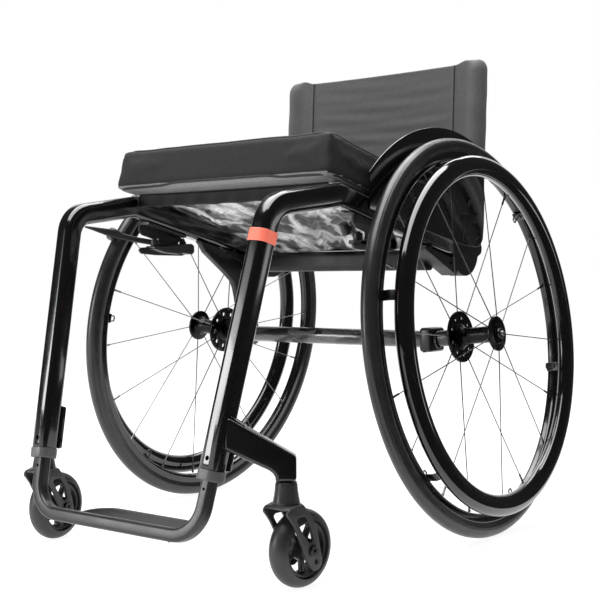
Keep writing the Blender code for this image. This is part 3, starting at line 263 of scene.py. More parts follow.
def moved(made, matrix):
    """A shell taken through a 4 by 4 matrix."""
    m = np.array(matrix)
    return made[0] @ m[:3, :3].T + m[:3, 3], made[1]


def mirrored(made, sign):
    """The same shell on the chair's other side: x times the side's sign."""
    return made[0] * (sign, 1, 1), made[1]


def rounded(points, radii, steps=6, closed=True):
    """Corners replaced by arcs of the given radii. On an arc that sweeps an angle s, the offset from its centre is
    start times sin((1 - t) s) plus end times sin(t s), over sin(s). An arc never takes more than half an edge."""
    p = np.asarray(points, float)
    corner = p if closed else p[1:-1]
    before = np.roll(p, 1, 0) if closed else p[:-2]
    after = np.roll(p, -1, 0) if closed else p[2:]
    a, b = unit(before - corner), unit(after - corner)
    half = np.arccos(np.clip((a * b).sum(-1), -0.99999, 0.99999)) / 2
    room = 0.49 * np.minimum(np.linalg.norm(before - corner, axis=-1), np.linalg.norm(after - corner, axis=-1))
    radius = np.minimum(np.broadcast_to(radii, half.shape), room * np.tan(half))
    start, end = (corner + d * (radius / np.tan(half))[:, None] for d in (a, b))
    centre = corner + unit(a + b) * (radius / np.sin(half))[:, None]
    sweep = (math.pi - 2 * half)[:, None, None]
    t = np.linspace(0, 1, steps + 1)[:, None]
    arcs = (np.sin((1 - t) * sweep) * (start - centre)[:, None] + np.sin(t * sweep) * (end - centre)[:, None])
    arcs = arcs / np.sin(sweep) + centre[:, None]
    line = arcs.reshape(-1, p.shape[1])
    return line if closed else np.concatenate([p[:1], line, p[-1:]])


def box_section(width, depth, radius, steps=6):
    """A rectangle with round corners, across and through."""
    w, d = width / 2, depth / 2
    return rounded([(w, d), (-w, d), (-w, -d), (w, -d)], radius, steps)


def ring_section(radius, count=20, tall=None):
    """A circle, or an oval with its second half-axis tall."""
    a = np.linspace(0, math.tau, count, endpoint=False)
    return np.stack([radius * np.cos(a), (tall or radius) * np.sin(a)], -1)


def carried(path, sections, across=(1, 0, 0), soft=0.0, closed=False):
    """A section carried along a path. At each point its first direction is the one nearest to the vector across, and
    its second is square to that and to the path. With soft, the section shrinks over that length of each end."""
    path, across = np.asarray(path, float), np.asarray(across, float)
    sections = np.broadcast_to(sections, (len(path), *np.shape(sections)[-2:]))
    if soft:
        set_in = soft * np.array([0, 0.3, 1])[:, None]
        path = np.concatenate([path[0] + unit(path[1] - path[0]) * set_in, path[1:-1],
                               path[-1] + unit(path[-2] - path[-1]) * set_in[::-1]])
        half = np.abs(sections[[0, -1]]).max(1).min(-1)[:, None, None, None]
        small = 1 - soft * np.array([1, 0.3, 0])[:, None, None] / half
        sections = np.concatenate([sections[:1] * small[0], sections[1:-1], sections[-1:] * small[1][::-1]])
    ahead = unit(np.gradient(path, axis=0)) if not closed else unit(np.roll(path, -1, 0) - np.roll(path, 1, 0))
    side = unit(across - ahead * (ahead @ across)[:, None])
    up = np.cross(ahead, side)
    points = path[:, None] + side[:, None] * sections[..., :1] + up[:, None] * sections[..., 1:]
    return shell(points, closed)


def flat_plate(outline, thick, bevel=0.0, holes=(), steps=2, matrix=None):
    """A plate cut from a sheet: an outline with holes, as (x, y) pairs, thick along Z about z = 0, edges rounded."""
    curve = bpy.data.curves.new("outline", "CURVE")
    curve.dimensions, curve.fill_mode = "2D", "BOTH"
    curve.extrude, curve.bevel_depth, curve.bevel_resolution, curve.offset = thick / 2 - bevel, bevel, steps, -bevel
    for loop in (outline, *holes):
        loop = np.asarray(loop, float)
        line = curve.splines.new("POLY")
        line.points.add(len(loop) - 1)
        line.points.foreach_set("co", np.c_[loop, np.zeros(len(loop)), np.ones(len(loop))].ravel())
        line.use_cyclic_u = True
    obj = bpy.data.objects.new("outline", curve)
    mesh = bpy.data.meshes.new_from_object(obj)
    made = as_shell(mesh)
    bpy.data.meshes.remove(mesh)
    bpy.data.objects.remove(obj)
    bpy.data.curves.remove(curve)
    return moved(made, matrix) if matrix is not None else made


def as_shell(mesh):
    """A mesh's points as an array, and its faces."""
    points = np.zeros(len(mesh.vertices) * 3)
    mesh.vertices.foreach_get("co", points)
    return points.reshape(-1, 3), [tuple(f.vertices) for f in mesh.polygons]


# A plate drawn as (y, z) pairs stands across X
ACROSS = Matrix(((0, 0, 1, 0), (1, 0, 0, 0), (0, 1, 0, 0), (0, 0, 0, 1)))


def side_plate(outline, x0, x1, bevel=0.0, holes=(), steps=2):
    return flat_plate(outline, x1 - x0, bevel, holes, steps, Matrix.Translation(((x0 + x1) / 2, 0, 0)) @ ACROSS)


def rod(radius, start, end, steps=24, soft=0.0):
    """A round bar between two points, its rims eased."""
    start, end = np.asarray(start, float), np.asarray(end, float)
    across = (0, 0, 1) if abs(unit(end - start)[2]) < 0.9 else (1, 0, 0)
    return carried([start, (start + end) / 2, end], ring_section(radius, steps), across, soft)


def brick(low, high, radius, steps=3):
    """A block between two corners, all its edges rounded: a point keeps its place inside the block less the radius,
    and stands one radius off it in the direction it already has."""
    low, high = np.asarray(low, float), np.asarray(high, float)
    n = 2 * steps + 2
    line = np.r_[-1.0, np.linspace(-1, -0.9, steps + 1)[1:], np.linspace(0.9, 1, steps + 1)[:-1], 1.0]
    bm = bmesh.new()
    bmesh.ops.create_grid(bm, x_segments=n - 1, y_segments=n - 1, size=1)
    grid = np.array([v.co[:] for v in bm.verts])
    quads = [[v.index for v in f.verts] for f in bm.faces]
    bm.free()
    index = np.round((grid[:, :2] + 1) / 2 * (n - 1)).astype(int)
    u, v = line[index[:, 0]], line[index[:, 1]]
    points, faces, one = [], [], np.ones(len(u))
    for k, (a, b, c) in enumerate(((u, v, one), (v, u, -one), (one, u, v), (-one, v, u), (v, one, u), (u, -one, v))):
        points.append(np.stack([a, b, c], -1))
        faces += [[i + k * len(u) for i in quad] for quad in quads]
    half = (high - low) / 2
    inner = half - radius
    cube = np.concatenate(points)
    core = np.clip(np.sign(cube) * np.where(np.abs(cube) > 0.5, inner, 0), -inner, inner)
    swing = unit(np.where(np.abs(cube) >= 0.9, (np.abs(cube) - 0.9) * 10, 0) * np.sign(cube))
    return (low + high) / 2 + core + swing * radius, faces


def placed(name, points, faces, looks=()):
    """A new object in the scene: a mesh of points and faces, with its materials."""
    mesh = bpy.data.meshes.new(name)
    mesh.from_pydata(points.tolist(), [], faces)
    for look in looks:
        mesh.materials.append(look)
    return linked(name, mesh)


def closed_mesh(made, look=0):
    """A shell as a mesh. Doubles are merged and faces turned outwards, so its seams and poles are closed."""
    mesh = bpy.data.meshes.new("shell")
    mesh.from_pydata((made[0] + SHIFT).tolist(), [], made[1])
    mesh.validate()
    bm = bmesh.new()
    bm.from_mesh(mesh)
    bmesh.ops.remove_doubles(bm, verts=bm.verts, dist=DOUBLES)
    bmesh.ops.recalc_face_normals(bm, faces=bm.faces)
    for face in bm.faces:
        face.material_index = look
    bm.to_mesh(mesh)
    bm.free()
    return mesh


def piece(owner, shells, looks, second=(), sign=1, place=None, sharp=EASED, name=None):
    """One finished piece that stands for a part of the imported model, or goes with it under a name of its own. The
    second shells take the second material. All go to the chair's side by sign, then through the matrix place."""
    whole = bmesh.new()
    for made, look in [(s, 0) for s in shells] + [(s, 1) for s in second]:
        made = mirrored(made, sign)
        mesh = closed_mesh(moved(made, place) if place else made, look)
        whole.from_mesh(mesh)
        bpy.data.meshes.remove(mesh)
    mesh = bpy.data.meshes.new(name or owner + "_finished")
    whole.to_mesh(mesh)
    whole.free()
    mesh.shade_smooth()
    mesh.set_sharp_from_angle(angle=math.radians(sharp))
    for look in looks:
        mesh.materials.append(look)
    obj = linked(mesh.name, mesh)
    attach(obj, BODY[owner])
    if name is None:
        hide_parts(owner)
    return obj


def carve(obj, *cutters):
    """Takes closed shells out of a piece, which keeps its place and its materials."""
    for made in cutters:
        cutter = linked("cutter", closed_mesh(made))
        mod = obj.modifiers.new("cut", "BOOLEAN")
        mod.operation, mod.solver, mod.object = "DIFFERENCE", "EXACT", cutter
        graph = bpy.context.evaluated_depsgraph_get()
        result = bpy.data.meshes.new_from_object(obj.evaluated_get(graph))
        obj.modifiers.remove(mod)
        old, result.name = obj.data, obj.data.name
        obj.data = result
        bpy.data.meshes.remove(old)
        bpy.data.objects.remove(cutter)
        result.shade_smooth()
        result.set_sharp_from_angle(angle=math.radians(EASED))


def both(half, middle=()):
    """A line of pairs and its mirror image, the other way round and with the second value's sign changed."""
    return [*half, *middle, *((a, -b) for a, b in half[::-1])]


def arc(centre, radius, start, end, steps):
    """(y, z) pairs round a centre, angles in degrees from +Y towards +Z."""
    a = np.radians(np.linspace(start, end, steps + 1))
    return np.stack([centre[0] + radius * np.cos(a), centre[1] + radius * np.sin(a)], -1).tolist()


# Points on the left leg at a height and on the left rail at a depth, the rail's upper and lower heights there, and a
# point on a cane
def leg_at(z):
    return LEG_FOOT + LEG_LEAN * (z - LEG_FOOT[2])


def rail_at(y):
    return np.array([SEAT_HALF, y, SEAT_BEND[2] - RAIL_DROP * (y - SEAT_BEND[1])])


def rail_top(y):
    return SEAT_BEND[2] - RAIL_DROP * (y - SEAT_BEND[1]) + RAIL_HALF_Z


def rail_bottom(y):
    return SEAT_BEND[2] - RAIL_DROP * (y - SEAT_BEND[1]) - RAIL_HALF_Z


def cane_at(z, sign=1):
    return np.array([sign * CANE_X, CANE_BASE_Y + CANE_LEAN * (z - CANE_BASE_Z), z])


def wheel_place(sign):
    """The rear wheel's middle, with Z outwards along the cambered axle."""
    return Matrix.Translation((sign * HALF_TRACK, 0, AXLE_Z)) @ Matrix.Rotation(sign * (math.pi / 2 - CAMBER), 4, "Y")


def caster_place(sign):
    """The foot of the caster's stem, turned by the toe-in."""
    return Matrix.Translation((sign * STEM_X, STEM_Y, 0)) @ Matrix.Rotation(-sign * CASTER_TOE, 4, "Z")


def roller_place(sign):
    """The caster wheel's middle, with Z along its bolt."""
    return caster_place(sign) @ Matrix.Translation((0, CASTER_TRAIL, CASTER_R)) @ Matrix.Rotation(math.pi / 2, 4, "Y")


aim_camera()
# Each has its tone and roughness. Then gloss has its coat, and powder its grain and relief.
frame_paint = gloss_black("frame_gloss_black", 0.003, 0.14)
arm_paint = gloss_black("arm_gloss_black", 0.003, 0.16, 0.3)
rim_paint = gloss_black("rim_gloss_black", 0.004, 0.12, 0.4)
handrim_paint = gloss_black("handrim_gloss_black", 0.003, 0.09, 0.6)
guard_paint = gloss_black("guard_gloss_black", 0.004, 0.1, 0.5)
collar_plastic = moulded("collar_grey_plastic", 0.085, 0.36)
foot_paint = powder_black("footrest_satin", 0.038, 0.32, metal=0.55)
band_paint = powder_black("footrest_band_satin", 0.045, 0.38, metal=0.3)
housing_paint = powder_black("housing_satin_black", 0.022, 0.34, 900)
fork_paint = powder_black("fork_cast_satin", 0.026, 0.4, 700, 0.00005)
core_plastic = moulded("caster_core_plastic", 0.016, 0.38)
caster_rubber = rubber("caster_rubber", 0.018, 0.42)
tyre_rubber = rubber("tyre_rubber", 0.015, 0.32)
hub_black = metal("hub_black_anodised", 0.02, 0.26)
spoke_steel = metal("spoke_bright_steel", 0.22, 0.3)
tab_metal = metal("handrim_tab_metal", 0.09, 0.36)
bolt_steel = metal("bolt_black_zinc", 0.05, 0.34)
plug_alloy = metal("plug_alloy", 0.08, 0.36)
axle_steel = metal("axle_steel", 0.26, 0.26)
button_steel = metal("button_steel", 0.42, 0.26)
support_paint = powder_black("support_satin_black", 0.008, 0.34)
cross_paint = powder_black("crossbar_satin_black", 0.006, 0.46)
cane_paint = powder_black("cane_satin_black", 0.014, 0.3)
bracket_paint = powder_black("bracket_satin_black", 0.005, 0.5)
brake_paint = powder_black("brake_satin_black", 0.018, 0.4)
valve_plastic = moulded("valve_black_plastic", 0.015, 0.36)
accent_paint = powder_black("accent_satin", 0.1, 0.36, 1500, 0.00002)
two_tone(accent_paint, object_noise(accent_paint, 40, 3), (0.9, 0.17, 0.1), (0.98, 0.21, 0.14))


def carbon_weave():
    """Marbled carbon on the axle tube: short chopped tows under lacquer, each with its own roughness. How each tow
    catches the light is painted into the base colour, lighter or darker cell by cell.
    """
    mat = paint("carbon_tube", 0.02, 0.3, coat=0.8, coat_rough=0.08)
    cells = warped(mat, "TexVoronoi", (0.35, 1, 1), (0, 0, 0), (40, 3), (0.02, 0.02, 0.02), Scale=95, Randomness=1.0)
    apart = node(mat.node_tree, "SeparateColor", Color=cells.outputs["Color"])
    # Painted sheen: each cell's base colour is lighter or darker for how its tow catches the light
    two_tone(mat, apart.outputs["Red"], 0.01, 0.085, 0.1, 0.9)
    spread_to(mat, apart.outputs["Green"], "Roughness", 0.18, 0.5, 0, 1)
    raised(mat, cells.outputs["Distance"], 0.00015)
    return mat


# ---- side frames, collars and the accent band
# Heights of the round hole in the leg's front, of the pin hole in the footrest's upright and of the accent band
LEG_HOLE_Z, PIN_HOLE_Z, BAND_Z0, BAND_Z1 = 0.17, 0.1315, 0.4375, 0.4535
# Between these heights the tube's section grows from the leg's to the rail's
GROW_Z0, GROW_Z1 = 0.457, 0.507


def frame_rows(path):
    """The tube's section grows from the leg's size to the rail's between two heights in front of the seat."""
    t = np.where(path[:, 1] < -0.3, np.clip((path[:, 2] - GROW_Z0) / (GROW_Z1 - GROW_Z0), 0, 1), 1.0)
    base, full = box_section(LEG_W, LEG_D, 0.0085, 7), box_section(RAIL_W, RAIL_H, 0.0085, 7)
    return base + (full - base) * t[:, None, None]


knee = leg_at(LEG_FOOT[2] + KNEE_RISE)
frame_path = rounded([LEG_FOOT, leg_at(0.3), knee, SEAT_BEND, rail_at(-0.12), rail_at(RAIL_END_Y)],
                     [0.001, 0.04, 0.045, 0.001], 18, closed=False)
cavity_w = FOOT_TUBE + 2 * (GAP + 0.089 * FOOT_DOWN + 0.0001)
cavity = carried([leg_at(LEG_FOOT[2] - 0.03), leg_at(0.18), leg_at(LEG_FOOT[2] + FOOT_INSERT + FOOT_UP + 0.02)],
                 box_section(cavity_w, FOOT_TUBE + 0.0012, 0.005))

for sign, label in SIDES:
    tube = piece(label + "_side_frame", [carried(frame_path, frame_rows(frame_path), soft=0.0008)], [frame_paint],
                 sign=sign, sharp=40)
    hole_at = leg_at(LEG_HOLE_Z)
    hole = rod(0.0031, hole_at + (0, -0.03, 0), hole_at, 20)
    carve(tube, mirrored(cavity, sign), mirrored(hole, sign))

    rise = np.array([0, 0.0015, 0.004, COLLAR_H - GAP - 0.002, COLLAR_H - GAP - 0.0006, COLLAR_H - GAP])
    swell = np.array([1.0, 1.0, 0.99, 0.985, 0.97, 0.94])[:, None, None]
    ring = box_section(LEG_W + 0.0022, LEG_D + 0.0022, 0.0092, 8) * swell
    down = np.array([leg_at(LEG_FOOT[2] - GAP - h) for h in rise])
    collar = piece(label + "_leg_collar", [carried(down, ring)], [collar_plastic], sign=sign)
    carve(collar, mirrored(cavity, sign))

band = box_section(LEG_W + 0.003, LEG_D + 0.003, 0.0098, 8) * np.array([0.975, 1, 1, 0.975])[:, None, None]
inner = box_section(LEG_W + 2 * GAP, LEG_D + 2 * GAP, 0.0088, 8)
band_at = [leg_at(z) for z in (BAND_Z0, BAND_Z0 + 0.0005, BAND_Z1 - 0.0005, BAND_Z1)]
accent = piece("accent_band", [carried(band_at, band)], [accent_paint])
carve(accent, carried([leg_at(0.42), leg_at(0.44), leg_at(0.48)], inner))

# ---- footrest
flip = np.array([-1, 1, 1])
foot_top, foot_low = leg_at(LEG_FOOT[2] + FOOT_INSERT), leg_at(FOOT_BAR_Z)
foot_path = rounded([foot_top, leg_at(0.15), foot_low, foot_low * flip, leg_at(0.15) * flip, foot_top * flip],
                    [0.001, FOOT_BEND, FOOT_BEND, 0.001], 16, closed=False)
foot_tube = carried(foot_path, box_section(FOOT_TUBE, FOOT_TUBE, FOOT_CORNER), np.cross(LEG_LEAN, (1, 0, 0)), 0.0006)
foot_tube = piece("footrest_tube", [foot_tube], [foot_paint], sharp=40)
pin_at = leg_at(PIN_HOLE_Z)
pin_hole = rod(0.002, pin_at + (0, -0.02, 0), pin_at + (0, -0.004, 0), 16)
carve(foot_tube, pin_hole, mirrored(pin_hole, -1))

lean_back = math.atan(LEG_LEAN[1])
bar_reach = (FOOT_TUBE / 2 - FOOT_CORNER) * (math.cos(lean_back) + math.sin(lean_back)) + FOOT_CORNER
bar_back, loop_half, band_z = foot_low[1] + bar_reach + GAP, 0.092, FOOT_BAR_Z - 0.0065
loop = [(-loop_half, bar_back, band_z), (-loop_half, bar_back + 0.062, band_z)]
loop = rounded(loop + [(-x, y, z) for x, y, z in loop[::-1]], [0.03, 0.03], 18, closed=False)
piece("footrest_band", [carried(loop, box_section(0.015, 0.004, 0.0015, 4), (0, 0, 1))], [band_paint], sharp=40)


# ---- casters
# Outlines of plates are (y, z) pairs, and profiles of turned parts (radius, height) pairs
FORK_HALF, FORK_T = CASTER_HALF + 0.0028, 0.0045
CROWN_Z = HOUSING_Z0 - GAP
spare_at = (CASTER_TRAIL + 0.006, CASTER_R - 0.0151)
fork_outline = [(-0.0165, CROWN_Z - 0.0028), (-0.004, CROWN_Z), (0.0085, CROWN_Z), (0.019, CROWN_Z - 0.012),
                (0.024, CROWN_Z - 0.0185), (0.031, 0.077), (0.0368, 0.061)] + arc(spare_at, 0.0116, 20, -150, 14)
fork_outline += [(0.0155, 0.036), (0.0112, 0.043), (0.0062, 0.0564), (-0.0011, 0.0725), (-0.0094, 0.0863),
                 (-0.0156, 0.0942), (-0.0205, CROWN_Z - 0.0105), (-0.0205, CROWN_Z - 0.0065)]
fork_window = [(-0.0045, 0.0925), (0.0, 0.095), (0.012, 0.095), (0.0165, 0.088), (0.0232, 0.0765),
               (0.0262, 0.065), (0.024, 0.0598), (0.019, 0.0598), (0.0125, 0.0675), (0.004, 0.0785)]
arm_from = leg_at(0.2)
arm_run = np.array([STEM_X - arm_from[0], STEM_Y - arm_from[1]])
arm_len, arm_top, end_half = float(np.hypot(*arm_run)), 0.1705, 0.0132
arm_outline = [(0.004, 0.2235), (arm_len + end_half, arm_top), (arm_len + end_half, HOUSING_Z1 + GAP),
               (arm_len - end_half, HOUSING_Z1 + GAP), (arm_len - end_half, 0.144), (arm_len - end_half - 0.003, 0.149),
               (arm_len - end_half - 0.008, 0.153), (0.004, 0.179)]
# The fillet where the arm's top runs up into the leg
arm_root = [(0.013, 0.2205), (0.016, 0.2205), (0.018, 0.2178), (0.0215, 0.215), (0.0255, 0.2125), (0.032, 0.2085),
            (0.032, 0.204), (0.013, 0.212)]
arm_place = (Matrix.Translation((arm_from[0], arm_from[1], 0))
             @ Matrix.Rotation(math.atan2(arm_run[1], arm_run[0]) - math.pi / 2, 4, "Z") @ ACROSS)


def caster_core():
    """The caster's moulded centre: a web with five rounded windows, a rim and a hub."""
    windows = []
    r, half = np.array(both([(0.0165, -25), (0.024, -29), (0.0316, -30.5), (0.0318, -15)], [(0.0318, 0)])).T
    for k in range(5):
        turn = np.radians(half + 112 + 72 * k)
        windows.append(rounded(np.stack([r * np.cos(turn), r * np.sin(turn)], -1), 0.0035, 5))
    web = flat_plate(ring_section(0.0335, 72), 0.009, 0.0022, [*windows, ring_section(0.006, 24)], 4)
    rim = both([(0.0345, 0.0118), (0.032, 0.0112), (0.0312, 0.004)]) + [(0.0362, -0.0115), (0.0362, 0.0115)]
    hub = both([(0.0048, 0.0162), (0.012, 0.0162), (0.0132, 0.015), (0.015, 0.003)])
    return [web, turned(rounded(rim, 0.0008, 3), 72, True), turned(rounded(hub, 0.0008, 3), 48, True)]


def fork_crown():
    """The fork's crown: round under the housing, it spreads and drops to the legs' width. Each row is a superellipse
    between a circle and a box, its half-axes and power running from one to the other."""
    share = np.array([0, 0, 0.15, 0.45, 0.75, 0.93, 1, 1, 1])[:, None]
    drop = np.array([0, 0, 0.0004, 0.0012, 0.0023, 0.0034, 0.0044, 0.0052, 0.0052])
    size = np.array([0.3, 1, 1, 1, 1, 1, 1, 0.98, 0.5])[:, None]
    a = np.linspace(0, math.tau, 64, endpoint=False)[None, :]
    power = 2 / (2 + 5 * share)
    x = (0.0172 + (FORK_HALF + FORK_T - 0.0006 - 0.0172) * share) * np.sign(np.cos(a)) * np.abs(np.cos(a)) ** power
    y = (0.0172 - 0.0002 * share) * np.sign(np.sin(a)) * np.abs(np.sin(a)) ** power
    points = np.stack([x * size, y * size - 0.0032 * share, CROWN_Z - drop[:, None] + 0 * a], -1)
    return shell(points)


for sign, label in SIDES:
    arm = flat_plate(rounded(arm_outline, 0.0062, 6), 0.027, 0.0052, steps=6, matrix=arm_place)
    root = flat_plate(arm_root, 0.021, 0.0012, steps=3, matrix=arm_place)
    behind = box_section(LEG_W, 0.0085, 0.003, 5) + (0, LEG_D / 2 + 0.00225)
    clamp = carried([leg_at(z) for z in (LEG_FOOT[2] + 0.001, 0.17, 0.19, 0.213)], behind, soft=0.0025)
    arm = piece(label + "_caster_arm", [arm], [arm_paint], sign=sign, sharp=40)
    piece(label + "_caster_arm", [clamp, root], [arm_paint], sign=sign, name=label + "_arm_clamp")
    room = carried([leg_at(z) for z in (0.1, 0.2, 0.3)], box_section(LEG_W + 2 * GAP, LEG_D + 2 * GAP, 0.0088, 7))
    carve(arm, mirrored(room, sign))

    stem, roller = caster_place(sign), roller_place(sign)
    z0, z1 = HOUSING_Z0, HOUSING_Z1
    profile = [(0, z1), (0.0128, z1), (0.0133, z1 - 0.0006), (0.0134, z1 - 0.0022), (0.014, z1 - 0.003),
               (0.0142, z1 - 0.005), (0.0147, z1 - 0.0105), (0.0156, z1 - 0.017), (0.0168, z0 + 0.004),
               (0.0175, z0 + 0.0012), (0.0174, z0), (0.0064, z0), (0.0064, z1 - 0.006), (0, z1 - 0.006)]
    piece(label + "_caster_housing", [turned(profile, 64)], [housing_paint], place=stem, sharp=40)

    holes = [rounded(fork_window, 0.003, 4), ring_section(0.0041, 20) + (CASTER_TRAIL, CASTER_R),
             ring_section(0.003, 20) + spare_at]
    legs = [side_plate(rounded(fork_outline, 0.004, 4), x, x + FORK_T, 0.0012, holes)
            for x in (FORK_HALF, -FORK_HALF - FORK_T)]
    post = turned([(0, CROWN_Z - 0.002), (0.006, CROWN_Z - 0.002), (0.006, z1 - 0.0085), (0.0055, z1 - 0.008),
                   (0, z1 - 0.008)], 24)
    piece(label + "_caster_fork", [*legs, fork_crown(), post], [fork_paint], place=stem, sharp=36)

    head = FORK_HALF + FORK_T + GAP
    profile = both([(0, head + 0.0012), (0.0021, head + 0.0012), (0.0024, head + 0.003), (0.006, head + 0.003),
                    (0.007, head + 0.002), (0.007, head), (0.004, head)])
    piece(label + "_caster_axle", [turned(profile, 36)], [bolt_steel], place=roller)
    piece(label + "_caster_wheel", caster_core(), [core_plastic], place=roller, sharp=40)
    t = np.radians(np.linspace(90, -90, 31))
    bulge = np.stack([CASTER_R - 0.0125 + 0.0125 * np.cos(t), CASTER_HALF * np.sin(t)], -1)
    bulge[:, 0] -= 0.0004 * np.exp(-((np.abs(np.degrees(t)) - 62) / 4) ** 2)
    inner, flat = 0.0362 + GAP, 0.0118
    tread = np.concatenate([bulge, [(inner, -flat), (inner, flat)]])
    piece(label + "_caster_tyre", [turned(tread, 96, True)], [caster_rubber], place=roller, sharp=60)

# ---- rear frame
tube = rounded([(TUBE_R, TUBE_X), (TUBE_R, -TUBE_X), (0.0113, -TUBE_X), (0.0113, TUBE_X)], 0.0006, 3)
tube_place = Matrix.Translation((0, 0, TUBE_Z)) @ Matrix.Rotation(math.pi / 2, 4, "Y")
piece("axle_tube", [turned(tube, 64, True)], [carbon_weave()], place=tube_place, sharp=40)

bar_end = POST_X - POST_T / 2 - GAP
bar = [(-bar_end, 0, CROSSBAR_Z), (0, 0, CROSSBAR_Z), (bar_end, 0, CROSSBAR_Z)]
piece("seat_crossbar", [carried(bar, box_section(CROSSBAR_W, CROSSBAR_H, 0.01, 8), (0, 1, 0), 0.0006)], [cross_paint])


def bracket_bottom(y):
    return 0.437 - 0.418 * (y + 0.06)


front_edge = [(-0.0202, TUBE_Z + 0.012), (-0.0245, 0.335), (-0.03, 0.36), (-0.0345, 0.376), (-0.0425, 0.389),
              (-0.06, 0.402), (-0.085, 0.4185), (-0.113, 0.437), (-0.129, rail_bottom(-0.129) - GAP)]
rear_edge = [(-0.076, rail_bottom(-0.076) - GAP), (-0.059, bracket_bottom(-0.059) - GAP),
             (-0.008, bracket_bottom(-0.008) - GAP), (-0.006, 0.395), (-0.003, 0.37), (0.006, 0.34),
             (0.0152, TUBE_Z + 0.012)]
post_radii = [0.002, 0.05, 0.05, 0.012, 0.012, 0.06, 0.06, 0.01, 0.001, 0.001, 0.001, 0.001, 0.02, 0.05, 0.05, 0.002]
for sign, label in SIDES:
    post = side_plate(rounded(front_edge + rear_edge, post_radii, 5), POST_X - POST_T / 2, POST_X + POST_T / 2, 0.0022)
    clamp = brick((POST_X - CLAMP_X / 2, -CLAMP_Y / 2, TUBE_Z - CLAMP_Z / 2),
                  (POST_X + CLAMP_X / 2 - 0.002, CLAMP_Y / 2, TUBE_Z + CLAMP_Z / 2), 0.005)
    bolts = [rod(0.0036, (POST_X - 0.004, y, TUBE_Z - CLAMP_Z / 2 - 0.0006), (POST_X - 0.004, y, TUBE_Z), 18, 0.0005)
             for y in (-0.0175, 0.0175)]
    support = piece(label + "_axle_support", [post, clamp], [support_paint, bolt_steel], bolts, sign)
    carve(support, rod(TUBE_R + GAP, (sign * 0.15, 0, TUBE_Z), (sign * 0.23, 0, TUBE_Z), 64))


# ---- rear wheels
def tyre_profile():
    """A round section with a shallow groove on each side, where the tread meets the side wall, down to its bed."""
    t = np.radians(np.linspace(128, -128, 65))
    a = np.degrees(np.abs(t))
    dip = 0.00035 * (np.exp(-((a - 40) / 2.2) ** 2) + np.exp(-((a - 96) / 2.5) ** 2))
    r = TYRE_R - dip
    curve = np.stack([WHEEL_R - TYRE_R + r * np.cos(t), r * np.sin(t)], -1)
    curve = curve[curve[:, 0] > RIM_OUT + 0.0012]
    bed = RIM_OUT + GAP
    return np.concatenate([curve, [(bed, -0.0086), (bed, 0.0086)]])


rim_profile = both([(RIM_OUT - 0.0012, -RIM_HALF), (RIM_IN + 0.0045, -0.0086), (RIM_IN + 0.0012, -0.0066),
                    (RIM_IN, -0.003)])
rim_profile = rounded([(RIM_OUT, RIM_HALF - 0.0004), (RIM_OUT, -RIM_HALF + 0.0004)] + rim_profile,
                      [0.0004, 0.0004, 0.001, 0.004, 0.003, 0.003, 0.003, 0.003, 0.004, 0.001], 4)
hub_profile = [(AXLE_R + 0.0008, HUB_OUT), (0.0142, HUB_OUT), (0.015, HUB_OUT - 0.0006), (0.016, 0.0386),
               (0.0262, 0.038), (0.0265, 0.0377), (0.0265, 0.0343), (0.0258, 0.034), (0.0175, 0.0325), (0.014, 0.028),
               (0.0127, 0.02), (0.0125, -0.01), (0.0135, -0.0165), (0.017, -0.021), (0.0205, -0.024),
               (0.0205, -0.028), (0.02, -0.0286), (0.0165, -0.03), (0.0158, HUB_IN), (AXLE_R + 0.0008, HUB_IN)]


# Steps round a rear wheel
WHEEL_STEPS = 192


def spoke(k, zero, first):
    """One straight spoke from its flange to the rim, with its head on the flange and its nipple at the rim."""
    outer = k % 2 == first
    r0, z0, z1 = (0.024, 0.0358, 0.0035) if outer else (0.037, -0.0262, -0.0035)
    a = zero + math.tau * k / SPOKES
    out = np.array([math.cos(a), math.sin(a), 0])
    start, end = out * r0 + (0, 0, z0), out * (RIM_FLAT - GAP) + (0, 0, z1)
    along = np.array([0, 0.5, 0.938, 0.942, 0.95, 0.985, 0.99, 1.0])
    radii = np.array([0.0009, 0.0008, 0.0008, 0.0015, 0.0017, 0.0017, 0.0021, 0.0021])
    rows = start + (end - start) * along[:, None]
    line = carried(rows, ring_section(1.0, 8) * radii[:, None, None], (0, 0, 1))
    face = 0.0382 if outer else -0.0283
    head = turned([(0, face), (0.0012, face), (0.0021, face - 0.0007 * np.sign(face)), (0.0021, z0), (0, z0)], 10,
                  matrix=Matrix.Translation(tuple(out * r0)))
    return [line, head]


def handrim_tab(a):
    """A bent strap from the rim's bed to the handrim, with a wire loop and a nut on the rim's inner side."""
    turn = Matrix.Rotation(a, 4, "Z")
    bend = rounded([(0.2664, 0, -0.0072), (0.2664, 0, 0.014), (0.2632, 0, 0.023)], [0.006], 6, closed=False)
    strap = carried(bend, box_section(0.015, 0.0022, 0.0009, 3), (0, 1, 0), 0.0004)
    eye = rounded([(0.2655, -0.0046, -0.0038), (0.256, -0.004, -0.0038), (0.256, 0.004, -0.0038),
                   (0.2655, 0.0046, -0.0038)], [0.0025, 0.0025], 4, closed=False)
    wire = carried(eye, ring_section(0.0011, 8), (0, 0, 1))
    nut = carried([(0.2662, 0, 0.0042), (0.264, 0, 0.0042), (0.2632, 0, 0.0042)],
                  ring_section(0.0034, 6) * np.array([1, 1, 0.8])[:, None, None], (0, 0, 1))
    return [moved(part, turn) for part in (strap, wire, nut)]


